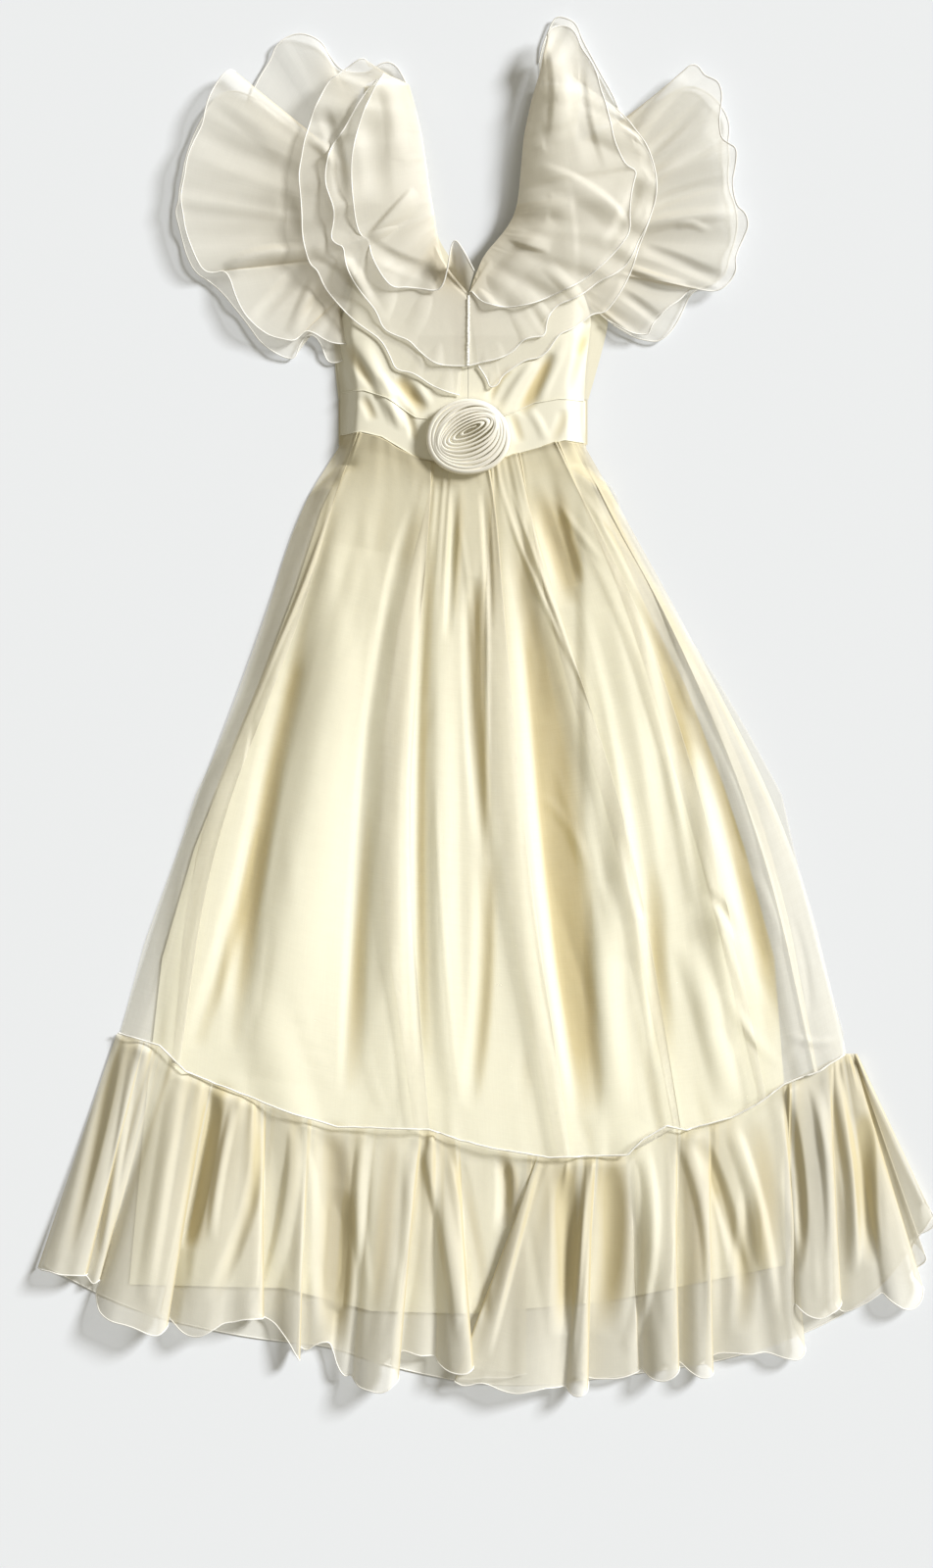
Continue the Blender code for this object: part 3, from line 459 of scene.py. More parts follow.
# Lines down the skirt: x and y at the waist, x at HIGH_Y, HIP_Y and KNEE_Y, x and y at the seam, the side
# that a fold turns under to, its lift and how far it is tucked
SKIRT_FOLDS = [
    (-150, -10, -197, -240, -336, -406, -698, "edge", 0, 0),
    (-143, 0, -186, -226, -322, -391, -702, "ridge", 1, 0),
    (-135, 5, -175, -209, -301, -359, -712, "ridge", 4, 0),
    (-128, 6, -158, -196, -300, -335, -735, "right", 7, 24),
    (-118, 4, -140, -166, -247, -282, -763, "ridge", 1, 0),
    (-107, 2, -114, -140, -213, -247, -775, "ridge", 3, 0),
    (-95, -3, -93, -112, -178, -204, -792, "ridge", 2, 0),
    (-83, -12, -77, -92, -118, -128, -808, "ridge", 6, 0),
    (-66, -20, -58, -70, -94, -88, -810, "ridge", 9, 0),
    (-40, -28, -42, -54, -72, -43, -811, "right", 13, 40),
    (-31, -31, -31, -40, -50, -33, -815, "ridge", 4, 0),
    (-22, -33, -20, -22, -32, -20, -820, "ridge", 3, 0), (-13, -35, -8, -4, -6, 0, -825, "ridge", 7, 0),
    (1, -36, 10, 18, 20, 40, -832, "ridge", 9, 0), (13, -34, 20, 30, 42, 72, -837, "ridge", 8, 0),
    (26, -30, 35, 45, 68, 122, -843, "right", 9, 36), (36, -27, 46, 66, 92, 138, -843, "ridge", 0, 0),
    (44, -24, 56, 84, 130, 155, -843, "ridge", 1, 0), (50, -20, 64, 97, 166, 190, -842, "ridge", 5, 0),
    (60, -18, 74, 112, 196, 250, -808, "right", 7, 20), (76, -14, 100, 150, 224, 279, -806, "ridge", 1, 0),
    (90, -9, 122, 182, 258, 316, -794, "ridge", 2, 0), (104, -5, 140, 212, 290, 350, -770, "right", 7, 22),
    (116, -4, 154, 229, 322, 376, -754, "ridge", 1, 0), (125, -6, 163, 241, 348, 405, -744, "left", 4, 12),
    (132, -9, 170, 249, 369, 429, -730, "ridge", 1, 0), (139, -12, 180, 256, 386, 444, -720, "edge", 0, 0),
]
FLOUNCE_SEAM = [
    (-411, -698), (-387, -704), (-360, -712), (-330, -742), (-295, -757), (-255, -772), (-204, -792),
    (-152, -807), (-45, -810), (-10, -822), (30, -832), (95, -843), (187, -840), (205, -822), (233, -806),
    (256, -811), (308, -797), (337, -782), (371, -757), (412, -742), (444, -722),
]
BACK_SEAM = [
    (-411, -699), (-340, -732), (-240, -775), (-150, -800), (-40, -818), (70, -832), (180, -832),
    (290, -800), (380, -752), (444, -722),
]
# Fine lines in the organza that are pressed in or pulled by the gathers
SKIRT_LINES = [
    (-38, -48, -43, -120, -58, -230, 3, 4, 2.2), (-28, -44, -34, -130, -44, -260, 3, 4, 2.0),
    (-20, -44, -24, -110, -30, -200, 3, 3, 1.8), (21, -60, 23, -280, 17, -700, 3, 4, 2.2),
    (38, -50, 70, -150, 140, -300, 4, 5, 2.4), (50, -60, 96, -190, 170, -380, 3, 5, 2.2),
    (150, -90, 200, -190, 258, -300, 5, 7, 2.4), (130, -60, 190, -160, 240, -260, 4, 6, 2.0),
    (256, -300, 325, -440, 372, -600, 4, 6, 2.4), (190, -240, 240, -420, 280, -640, 4, 6, 2.2),
    (-157, -60, -190, -170, -247, -290, 4, 5, 2.4), (-170, -110, -215, -230, -290, -400, 4, 5, 2.0),
    (-52, -300, -64, -480, -48, -760, 3, 4, 2.0), (-36, -400, -30, -560, -8, -790, 3, 4, 2.0),
    (66, -440, 84, -600, 120, -790, 3, 5, 1.8), (100, -380, 130, -480, 160, -620, 6, 7, 1.8),
    (180, -560, 205, -680, 240, -790, 4, 5, 2.2), (270, -470, 292, -560, 326, -660, 6, 8, 2.2),
    (296, -520, 322, -585, 350, -640, 6, 8, 2.4), (-330, -480, -352, -600, -380, -690, 3, 5, 2.0),
    (-10, -100, 6, -240, 10, -420, 4, 5, 2.0), (100, -70, 128, -110, 160, -150, 5, 7, 2.0),
    (248, -280, 256, -306, 266, -330, 5, 6, 3.0), (278, -530, 299, -557, 320, -590, 7, 10, -4.5),
    (336, -505, 356, -555, 370, -600, 6, 8, 3.5), (293, -371, 314, -463, 345, -526, 9, 9, -3.0),
    (181, -463, 196, -536, 206, -560, 6, 9, -4.0), (84, -420, 126, -470, 162, -560, 7, 9, 2.0),
    (303, -650, 328, -696, 366, -738, 7, 10, 3.0), (372, -696, 407, -708, 438, -706, 8, 6, 3.0),
    (-230, -560, -240, -640, -262, -720, 5, 9, -3.0), (-262, -560, -276, -620, -284, -700, 4, 6, 2.5),
    (-196, -640, -186, -700, -160, -770, 4, 6, 2.0), (-120, -700, -112, -750, -92, -800, 4, 6, 2.0),
    (-250, -330, -262, -400, -290, -480, 5, 8, -2.5), (380, -560, 396, -620, 400, -680, 5, 7, -3.0),
]


def soften(controls, samples):
    """Rounded lines that rows of controls pull on; the first and the last row are kept."""
    controls = np.asarray(controls, float)
    middles = (controls[:-1] + controls[1:]) / 2
    rows = [controls[:1]]
    for start, pull, end in zip(middles, controls[1:-1], middles[1:]):
        rows += [bent(part, start, pull, end)[None] for part in (np.arange(samples) + 0.5) / samples]
    rows.append(controls[-1:])
    return np.concatenate(rows)


def resample(line, count, crowding=1.0):
    """A line cut again into count points by distance along it, crowded towards its start above 1."""
    line = np.asarray(line, float)
    along = running(np.linalg.norm(np.diff(line[:, :2], axis=0), axis=1))
    places = along[-1] * np.linspace(0, 1, count) ** crowding
    return np.column_stack([np.interp(places, along, values) for values in line.T])


def folded(kind, tuck, growth):
    """Offsets across the cloth of one fold's lines, and their share of its height, from left to right."""
    if kind not in ("right", "left"):
        return [(0 * growth, 1.0)]
    side = 1 if kind == "right" else -1
    lines = [
        (side * (flat * (1 - growth) - tuck * turned * growth**2), share)
        for flat, turned, share in zip(FOLD_FLAT, FOLD_TURNED, FOLD_LEVELS)
    ]
    return lines if side > 0 else lines[::-1]


def gathers(u, v, seed, count):
    """Small uneven gathers that run down a cloth: u is the place across it, from 0 to 1, v the share down."""
    draw = np.random.default_rng(seed)
    total = np.zeros_like(u)
    for _ in range(count):
        middle, width = draw.uniform(0, 1), draw.uniform(0.004, 0.014)
        reach, lean = draw.uniform(0.15, 0.75), draw.uniform(-0.02, 0.02)
        shift = (u - middle - lean * v) / (width * (1 + 1.5 * v))
        total += draw.uniform(0.4, 1.0) * np.exp(-shift**2) * np.clip(1 - v / reach, 0, 1) ** 1.5
    return total


# Organza: mostly clear, and denser where it is gathered, slanted, doubled or given painted shade, with slubs
# and a soft crinkle
crinkle, crinkle_in, crinkle_out = new_group("organza", ("Cover", "Slub"), ("Cover", "Depth", "Height"))
weave = add_node(crinkle, "ShaderNodeGroup", node_tree=threads, in_Width=0.0011, in_Length=0.045)
uv_map = add_node(crinkle, "ShaderNodeUVMap", uv_map="cloth")
cloudy = add_node(
    crinkle, "ShaderNodeTexNoise", [("Vector", uv_map.outputs[0])], noise_dimensions="2D",
    in_Scale=60.0, in_Detail=3.0,
)
cloud = add_node(crinkle, "ShaderNodeMapRange", [(0, cloudy.outputs["Fac"])], in_3=-0.02, in_4=0.02)
slub = maths(crinkle, "MULTIPLY", weave.outputs["Mask"], crinkle_in.outputs["Slub"])
uneven = maths(crinkle, "ADD", slub, cloud.outputs[0])
single = maths(crinkle, "ADD", uneven, crinkle_in.outputs["Cover"], clamp=True)
dense = add_node(crinkle, "ShaderNodeAttribute", attribute_name="dense")
through = maths(crinkle, "POWER", maths(crinkle, "SUBTRACT", 1.0, single), dense.outputs["Fac"])
crinkle.links.new(maths(crinkle, "SUBTRACT", 1.0, through), crinkle_out.inputs["Cover"])
depth = add_node(crinkle, "ShaderNodeMapRange", [(0, dense.outputs["Fac"])], in_1=1.0, in_2=3.0)
crinkle.links.new(depth.outputs[0], crinkle_out.inputs["Depth"])
lift = maths(crinkle, "MULTIPLY", cloudy.outputs["Fac"], 3.0)
crinkle.links.new(maths(crinkle, "ADD", lift, weave.outputs["Height"]), crinkle_out.inputs["Height"])


def organza(name, single, thick, cover, slub=0.02):
    """Sheer cloth of a cover per layer, whose colour goes from single to thick as it lies denser."""
    material = new_material(name, {"Roughness": 0.55, "Sheen Weight": 0.25})
    tree = material.node_tree
    cloth = add_node(tree, "ShaderNodeGroup", node_tree=crinkle, in_Cover=cover, in_Slub=slub)
    tree.links.new(cloth.outputs["Cover"], tree.nodes["Principled BSDF"].inputs["Alpha"])
    return finish_material(material, cloth.outputs["Depth"], (single, thick), cloth.outputs["Height"])


skirt_organza = organza("skirt organza", (0.90, 0.87, 0.75), (0.66, 0.585, 0.385), cover=0.30)


def overskirt_grid():
    lines = []
    for waist_x, waist_y, high_x, hip_x, knee_x, seam_x, seam_y, kind, lift, tuck in SKIRT_FOLDS:
        places = (waist_x, high_x, hip_x, knee_x, seam_x)
        heights = (waist_y, HIGH_Y, HIP_Y, KNEE_Y, seam_y)
        line = soften(list(zip(places, heights, SKIRT_GROWTH)), 8)
        x, y, growth = resample(line, SKIRT_ROWS, crowding=1.15).T
        for offset, share in folded(kind, tuck, growth):
            z = front_z(x + offset, y) + lift * growth**0.7 * share
            lines.append(np.column_stack((x + offset, y, z)))
    grid = soften(lines, SKIRT_ROUNDING)
    x, y = grid[..., 0], grid[..., 1]
    left, right, _crown = outline_at(OUTLINE, y)
    inside = smooth(np.minimum(x - left, right - x) / SKIRT_EDGE)
    u, v = shares(len(grid), SKIRT_ROWS)
    fine = creased(SKIRT_LINES, x, y) + WAIST_GATHERS * gathers(u, v, seed=3, count=60)
    fine += SEAM_GATHERS * gathers(u, 1 - v, seed=5, count=90)
    fine += rumples(x, y, seed=62, count=120, low=-820, high=-60)
    grid[..., 2] += (lining_hang(x, y) * LINING_FOLLOWED + fine) * inside
    gap = grid[..., 2] - lining_top(x, y) - ORGANZA_GAP * inside
    grid[..., 2] += (np.hypot(gap, ORGANZA_EASE) - gap) / 2 * inside
    for line in grid:
        line[0, 1] = line_y(WAIST, line[0, 0]) - SEAM_GAP
        line[0, 2] = front_z(line[0, 0], line[0, 1], -LAYER)
        line[-1, 1] = line_y(FLOUNCE_SEAM, line[-1, 0])
    grid[[0, -1], :, 2] = SIDE_Z
    return grid


skirt = overskirt_grid()
left, right, _crown = outline_at(OUTLINE, skirt[..., 1])
gathered = np.clip(SKIRT_UNGATHERED / (right - left), 1, 3)
overskirt_front = sew("overskirt_front", skirt, skirt_organza, gathered)

grid = []
for seam_x, seam_y in resample(BACK_SEAM, BACK_LINES):
    across = (seam_x - BACK_SEAM[0][0]) / (BACK_SEAM[-1][0] - BACK_SEAM[0][0])
    y = np.linspace(MIDRIFF_BACK_FOOT - SEAM_GAP, seam_y, BACK_LINES)
    left, right, _crown = outline_at(OUTLINE, np.maximum(y, BACK_SEAM[0][1]))
    grid.append(np.column_stack((left + (right - left) * across, y, 0 * y + BACK_Z)))
overskirt_back = sew("overskirt_back", grid, skirt_organza)

# ---- Hem flounce: a deep straight strip of organza gathered to the overskirt's lower edge, front and
# back, with a narrow rolled hem. It falls in cones whose crisp right edges turn back under themselves.
FLOUNCE_LINES, FLOUNCE_ROWS = 760, 72
FLOUNCE_GATHERS, HEM_GATHERS, FLOUNCE_RUMPLES = 2.4, 1.5, 1.8
FLOUNCE_BACK_LINES, FLOUNCE_BACK_ROWS = 120, 20
HEM_RADIUS, HEM_SIDES, HEM_LEAST_STEP = 0.8, 6, 0.05
HEM_RIPPLE, HEM_RIPPLES = 1.6, 130  # the hem wanders this far, so many times along its length
FLATTER_FROM, FLATTER_OVER, FLATTER_END = 330, 90, 0.3  # the cones lie flatter than their solid at the right
LINING_CLEARED, SHOWN_THERE = 1.2, 0.15  # least height over the lining, and how much of a fold shows there
TROUGH_SHIFT, TROUGH_DEPTH, TROUGH_PAINTED_SHADE = 3, 7, 1.2  # painted shade: denser, darker organza in its creases' troughs, set off to the side away from the light
MOST_GATHERED = 2.2
SEAM_RADIUS, SEAM_POINTS = 1.0, 420
PUCKER, PUCKERS = 2.0, 90  # height and number of the puckers along the seam

# x, y and z of the front's hem, in and out of its folds, and the seam's x above
FLOUNCE_HEM = [
    (-503, -973, 2, -411), (-498, -975, 12, -406), (-482, -977, 23, -399), (-461, -979, 27, -390),
    (-443, -979, 22, -381), (-446, -977, 10, -378), (-453, -976, 5, -376), (-445, -984, 8, -369),
    (-437, -994, 14, -365), (-429, -984, 9, -360), (-435, -995, 4, -355), (-436, -1006, 6, -348),
    (-430, -1023, 20, -342), (-415, -1033, 29, -334), (-398, -1037, 34, -325), (-381, -1044, 36, -317),
    (-366, -1051, 34, -310), (-355, -1046, 30, -307), (-348, -1038, 23, -304), (-353, -1032, 10, -301),
    (-363, -1025, 5, -299), (-352, -1028, 6, -296), (-345, -1036, 14, -291), (-336, -1046, 24, -284),
    (-322, -1051, 29, -276), (-307, -1049, 31, -268), (-293, -1042, 30, -261), (-281, -1034, 27, -254),
    (-261, -1032, 30, -248), (-245, -1032, 28, -244), (-236, -1032, 20, -240), (-240, -1027, 9, -237),
    (-250, -1025, 5, -232), (-236, -1030, 5, -224), (-223, -1041, 8, -215), (-212, -1053, 13, -206),
    (-202, -1070, 19, -197), (-194, -1082, 21, -189), (-198, -1071, 8, -184), (-202, -1059, 4, -181),
    (-190, -1070, 6, -171), (-182, -1063, 10, -162), (-170, -1058, 13, -152), (-160, -1059, 13, -141),
    (-155, -1072, 10, -132), (-151, -1088, 12, -124), (-144, -1101, 14, -116), (-138, -1097, 10, -110),
    (-132, -1105, 20, -105), (-122, -1112, 30, -95), (-108, -1117, 35, -85), (-95, -1116, 36, -76),
    (-85, -1109, 33, -67), (-78, -1099, 25, -56), (-83, -1089, 10, -53), (-91, -1082, 5, -51),
    (-79, -1070, 7, -47), (-68, -1072, 11, -44), (-54, -1075, 14, -40), (-43, -1074, 11, -38),
    (-37, -1074, 8, -36), (-34, -1083, 14, -31), (-24, -1091, 23, -28), (-13, -1095, 28, -23),
    (-1, -1094, 29, -18), (10, -1089, 22, -14), (6, -1084, 9, -10), (-3, -1086, 4, -6), (26, -1092, 4, 15),
    (59, -1097, 5, 45), (77, -1098, 5, 68), (49, -1101, 7, 76), (15, -1102, 9, 79), (-13, -1102, 12, 82),
    (-18, -1104, 17, 84), (-2, -1110, 21, 90), (15, -1106, 22, 95), (29, -1110, 24, 101),
    (45, -1117, 27, 107), (61, -1119, 29, 113), (78, -1113, 28, 118), (95, -1113, 24, 124),
    (109, -1111, 17, 130), (115, -1110, 13, 135), (118, -1118, 20, 138), (125, -1122, 28, 140),
    (133, -1121, 30, 143), (141, -1116, 25, 145), (144, -1105, 17, 147), (138, -1098, 8, 150),
    (131, -1096, 5, 152), (145, -1102, 7, 158), (160, -1101, 11, 166), (178, -1101, 14, 174),
    (194, -1098, 14, 182), (205, -1094, 11, 189), (197, -1088, 6, 193), (205, -1092, 12, 198),
    (212, -1098, 20, 204), (221, -1102, 27, 213), (233, -1102, 31, 223), (243, -1096, 30, 233),
    (248, -1086, 22, 243), (243, -1082, 9, 246), (235, -1080, 5, 248), (248, -1082, 8, 253),
    (258, -1090, 16, 259), (269, -1097, 23, 267), (281, -1101, 25, 275), (289, -1096, 19, 282),
    (284, -1087, 8, 285), (277, -1082, 5, 288), (297, -1071, 7, 292), (312, -1072, 12, 300),
    (328, -1074, 16, 309), (346, -1071, 13, 320), (360, -1073, 15, 331), (374, -1079, 20, 344),
    (388, -1080, 22, 356), (396, -1071, 17, 367), (391, -1057, 9, 371), (384, -1041, 4, 375),
    (378, -1022, 6, 377), (381, -1012, 15, 381), (386, -1019, 24, 386), (396, -1025, 30, 392),
    (409, -1030, 34, 400), (424, -1028, 34, 409), (434, -1021, 30, 417), (440, -1012, 22, 423),
    (435, -1005, 9, 425), (425, -1004, 4, 428), (436, -1026, 6, 430), (450, -1022, 12, 432),
    (463, -1014, 16, 435), (476, -1006, 17, 437), (486, -1000, 15, 439), (490, -1005, 19, 442),
    (497, -1013, 25, 444), (508, -1020, 27, 446), (522, -1020, 25, 448), (531, -1012, 20, 450),
    (537, -998, 13, 451), (530, -989, 6, 452), (521, -981, 4, 452), (528, -973, 6, 453),
    (536, -967, 11, 453), (540, -961, 14, 453), (531, -951, 9, 454), (520, -940, 6, 454),
    (531, -933, 9, 454), (543, -927, 13, 455), (547, -919, 12, 455), (544, -910, 8, 457),
    (535, -898, 2, 457),
]
FLOUNCE_CREASES = [
    (-293, -748, -313, -866, -332, -950, 8, 16, -9), (-169, -800, -158, -900, -163, -1040, 24, 24, -6),
    (35, -815, 45, -870, 41, -925, 12, 10, -8), (113, -850, 116, -958, 113, -1050, 20, 18, -8),
    (164, -840, 167, -946, 153, -1050, 22, 24, -8), (-204, -795, -215, -912, -247, -1021, 10, 16, 5),
    (-238, -785, -255, -900, -301, -1010, 12, 12, -4), (-54, -815, -25, -946, -8, -1061, 10, 18, 5),
    (-66, -820, -71, -958, -94, -1073, 12, 14, 4), (82, -845, 49, -969, 21, -1079, 16, 8, 5),
    (141, -846, 128, -981, 118, -1096, 12, 8, 5), (205, -825, 216, -946, 187, -1073, 14, 10, 6),
    (245, -815, 279, -923, 282, -1061, 10, 14, 4), (308, -800, 343, -912, 360, -1038, 16, 10, 6),
    (371, -765, 389, -889, 383, -981, 10, 10, -6), (429, -735, 452, -877, 452, -981, 12, 8, 6),
    (-411, -715, -439, -843, -468, -958, 14, 10, -5), (-388, -715, -411, -854, -428, -958, 8, 8, 5),
    (-336, -750, -359, -900, -376, -1015, 16, 12, 5), (-120, -812, -128, -900, -118, -1000, 9, 12, 4),
    (265, -815, 300, -900, 320, -1000, 12, 14, -5), (-20, -826, 8, -940, 20, -1040, 8, 12, -4),
    (402, -750, 420, -850, 424, -960, 8, 12, 5), (-150, -880, -158, -990, -162, -1070, 24, 30, -8),
    (462, -790, 466, -880, 470, -970, 14, 16, -8), (330, -870, 325, -960, 318, -1050, 14, 18, -6),
    (-270, -770, -290, -860, -300, -940, 7, 9, 4),
]
FLOUNCE_BACK_HEM = [
    (-497, -971), (-390, -1026), (-255, -1057), (-160, -1064), (-90, -1091), (40, -1116), (195, -1099),
    (330, -1078), (475, -1016), (546, -914),
]


def rolled_hem(name, line, material, radius=HEM_RADIUS):
    """A thin round roll of cloth along an edge."""
    line = np.asarray(line, float)
    line = line[np.concatenate(([True], np.linalg.norm(np.diff(line, axis=0), axis=1) > HEM_LEAST_STEP))]
    ahead = np.gradient(line, axis=0)
    ahead /= np.linalg.norm(ahead, axis=1)[:, None]
    side = np.cross(ahead, (0, 0, 1))
    side /= np.maximum(np.linalg.norm(side, axis=1), 1e-6)[:, None]
    up = np.cross(side, ahead)
    angles = np.linspace(0, 2 * np.pi, HEM_SIDES + 1)[:-1]
    tube = np.array([line + radius * (np.cos(angle) * side + np.sin(angle) * up) for angle in angles])
    number = np.arange(HEM_SIDES * len(line)).reshape(HEM_SIDES, -1)
    caps = [number[:, 0].tolist(), number[::-1, -1].tolist()]
    faces = quads(number, np.roll(number, -1, axis=0)) + caps
    piece = new_piece(name, tube, faces, material)
    bm = bmesh.new()
    bm.from_mesh(piece.data)
    bmesh.ops.recalc_face_normals(bm, faces=bm.faces)
    bm.to_mesh(piece.data)
    bm.free()
    return piece


# Tightly rolled organza: opaque and whiter than the single cloth
hem_cloth = new_material("rolled hem", {"Roughness": 0.6, "Sheen Weight": 0.3})
spot = add_node(hem_cloth.node_tree, "ShaderNodeTexCoord").outputs["Object"]
twist = add_node(
    hem_cloth.node_tree, "ShaderNodeTexNoise", [("Vector", spot)], in_Scale=700.0, in_Detail=2.0
).outputs["Fac"]
finish_material(hem_cloth, twist, ((0.846, 0.8325, 0.783), (0.94, 0.925, 0.87)), twist, strength=0.4)
flounce_organza = organza("flounce organza", (0.88, 0.85, 0.73), (0.62, 0.545, 0.34), cover=0.50)


def grown(v, share):
    """Grows from 0 at a seam to 1 at a share of the way to the hem."""
    return smooth(v / share)


def gathered_in(grid):
    """How many times denser than at its hem a gathered cloth lies at each point."""
    apart = np.linalg.norm(np.gradient(grid[..., :2], axis=0), axis=2)
    return np.clip(apart[:, -1:] / np.maximum(apart, 0.02), 1, MOST_GATHERED)


def flounce_grid():
    edge = resample(soften(FLOUNCE_HEM, 5), FLOUNCE_LINES)
    ripples = np.random.default_rng(71).uniform(-HEM_RIPPLE, HEM_RIPPLE, (HEM_RIPPLES, 2))
    places = np.linspace(0, HEM_RIPPLES - 1, FLOUNCE_LINES)
    edge[:, :2] += np.column_stack([np.interp(places, np.arange(HEM_RIPPLES), way) for way in ripples.T])
    edge[:, 2] *= 1 - FLATTER_END * smooth((edge[:, 0] - FLATTER_FROM) / FLATTER_OVER)
    u, v = shares(FLOUNCE_LINES, FLOUNCE_ROWS)
    seam_x = edge[:, 3:]
    seam_y = line_y(FLOUNCE_SEAM, seam_x) - SEAM_GAP
    x = seam_x + (edge[:, :1] - seam_x) * v
    y = seam_y + (edge[:, 1:2] - seam_y) * v
    seam_z = front_z(seam_x, seam_y, -LAYER)
    z = seam_z + (edge[:, 2:3] - seam_z) * v**0.8
    fine = FLOUNCE_GATHERS * gathers(u, v, seed=11, count=130)
    fine = fine + HEM_GATHERS * gathers(u, 1 - v, seed=12, count=60)
    z = z + fine * grown(v, 0.04)
    soft = creased(FLOUNCE_CREASES, x, y)
    soft = soft + FLOUNCE_RUMPLES * rumples(x, y, seed=63, count=110, low=-1080, high=-740)
    z = z + soft * grown(v, 0.12)
    z = np.maximum(z, (lining_top(x, y) + LINING_CLEARED) * grown(v, 0.06) + SHOWN_THERE * z)
    z[[0, -1]] = SIDE_Z
    return np.stack((x, y, z), axis=-1)


grid = flounce_grid()
# Painted shade: the flounce's crease troughs, a little to the side away from the light, count as denser, so
# the organza there is more opaque and takes its darker colour.
depth = troughs(creased(FLOUNCE_CREASES, grid[..., 0] - TROUGH_SHIFT, grid[..., 1]), TROUGH_DEPTH)
gathered = gathered_in(grid) * (1 + TROUGH_PAINTED_SHADE * depth)
flounce_front = sew("flounce_front", grid, flounce_organza, gathered)
flounce_hem = rolled_hem("flounce_front_hem", grid[:, -1], hem_cloth)
x = np.linspace(FLOUNCE_SEAM[0][0] + 2, FLOUNCE_SEAM[-1][0] - 2, SEAM_POINTS)
puckers = np.random.default_rng(17).uniform(0, PUCKER, PUCKERS)
rise = np.interp(x, np.linspace(x[0], x[-1], PUCKERS), puckers) / 2
skirt_foot = skirt[np.argsort(skirt[:, -1, 0]), -1]
top = np.interp(x, skirt_foot[:, 0], skirt_foot[:, 2])
top = np.max([np.roll(top, step) for step in range(-4, 5)], axis=0)  # over the highest gathers beside it
seam = np.column_stack((x, line_y(FLOUNCE_SEAM, x) + rise, top + rise))
flounce_seam = rolled_hem("flounce_front_seam", seam, hem_cloth, SEAM_RADIUS)

tops, feet = [resample(soften(line, 6), FLOUNCE_BACK_LINES) for line in (BACK_SEAM, FLOUNCE_BACK_HEM)]
down = np.linspace(0, 1, FLOUNCE_BACK_ROWS)[None, :, None]
grid = tops[:, None] + (feet - tops)[:, None] * down
grid = np.concatenate((grid, np.full((*grid.shape[:2], 1), BACK_Z)), axis=2)
flounce_back = sew("flounce_back", grid, flounce_organza)
back_hem = rolled_hem("flounce_back_hem", grid[:, -1] + (0, 0, HEM_RADIUS - BACK_Z), hem_cloth)

# ---- Bodice: two front halves joined by a centre seam and two back halves, of ivory satin, cut low with
# narrow shoulders. The fronts pull in soft folds that fan out from the rosette.
BODICE_COLUMNS, BODICE_ROWS = 60, 130
BODICE_FOLD_SHARE, MIDRIFF_FOLD_SHARE = 0.65, 0.7  # the folds lie flatter under the ruffles
MIDRIFF_TUCK = 4.0  # how far the bodice reaches under the midriff
MIDRIFF_REACH = 60.0
CENTRE_X = 1.0
SATIN_SHIFT, SATIN_DEPTH = 2, 7  # as the lining's SHADE_SHIFT and SHADE_DEPTH

# Each half from the waist up: x and y at the centre or neckline, x and y at the side or armhole
BODICE_RIGHT = [
    (1, 17, 137, 43), (1, 66, 138, 77), (1, 117, 143, 117), (1, 164, 146, 146), (23, 213, 132, 178),
    (59, 247, 121, 213), (66, 296, 117, 278), (70, 353, 122, 353), (84, 413, 130, 413),
]
BODICE_LEFT = [
    (1, 17, -148, 53), (1, 66, -151, 71), (1, 117, -154, 98), (1, 164, -152, 129), (-17, 188, -139, 169),
    (-36, 206, -125, 198), (-49, 290, -106, 278), (-57, 353, -112, 353), (-75, 413, -118, 413),
]
BACK_RIGHT = [
    (1, 45, 142, 45), (1, 80, 152, 80), (1, 117, 162, 117), (1, 178, 167, 144), (17, 206, 141, 181),
    (52, 243, 128, 213), (63, 296, 122, 278), (70, 353, 126, 353), (84, 413, 135, 413),
]
BACK_LEFT = [
    (1, 45, -151, 45), (1, 80, -155, 80), (1, 117, -157, 117), (1, 178, -154, 144), (-17, 206, -141, 181),
    (-40, 243, -128, 213), (-47, 296, -110, 278), (-56, 353, -115, 353), (-75, 413, -121, 413),
]
MIDRIFF_TOP = [
    (-150, 53), (-121, 54), (-94, 45), (-60, 22), (0, 16), (49, 26), (78, 39), (107, 44), (140, 43),
]
BODICE_FOLDS = [
    (25, 40, 36, 66, 50, 78, 8, 6, -4), (38, 25, 58, 60, 80, 88, 9, 9, 6),
    (58, 26, 80, 64, 98, 98, 9, 16, -8), (84, 40, 96, 72, 116, 116, 9, 10, 3.5),
    (128, 94, 133, 112, 140, 132, 8, 8, -4), (-84, 70, -70, 52, -50, 28, 12, 14, -7),
    (-126, 112, -102, 60, -82, 14, 12, 14, 6), (-60, 62, -52, 48, -42, 36, 8, 8, 3),
    (-143, 112, -128, 82, -102, 52, 9, 12, -4), (-124, 48, -116, 34, -110, 18, 9, 7, -3),
    (-13, 172, -12, 130, -10, 84, 14, 9, -6), (1, 166, 1, 124, 1, 82, 3, 3, 2.2),
    (50, 26, 56, 10, 62, -8, 8, 8, -2.5), (112, 32, 108, 14, 96, -8, 9, 9, -2.5),
    (134, 50, 136, 28, 135, 0, 6, 6, 2), (118, 52, 128, 90, 138, 120, 7, 7, -3.5),
    (-146, 90, -140, 70, -136, 56, 6, 6, 3), (-100, 74, -92, 56, -84, 44, 8, 8, 3),
    (-92, 44, -84, 26, -78, 8, 8, 8, 3), (-74, 36, -66, 14, -62, -6, 7, 7, -3),
    (-40, 30, -38, 14, -40, -10, 8, 8, 2.5), (70, 34, 84, 14, 90, -4, 8, 8, 2.5),
]


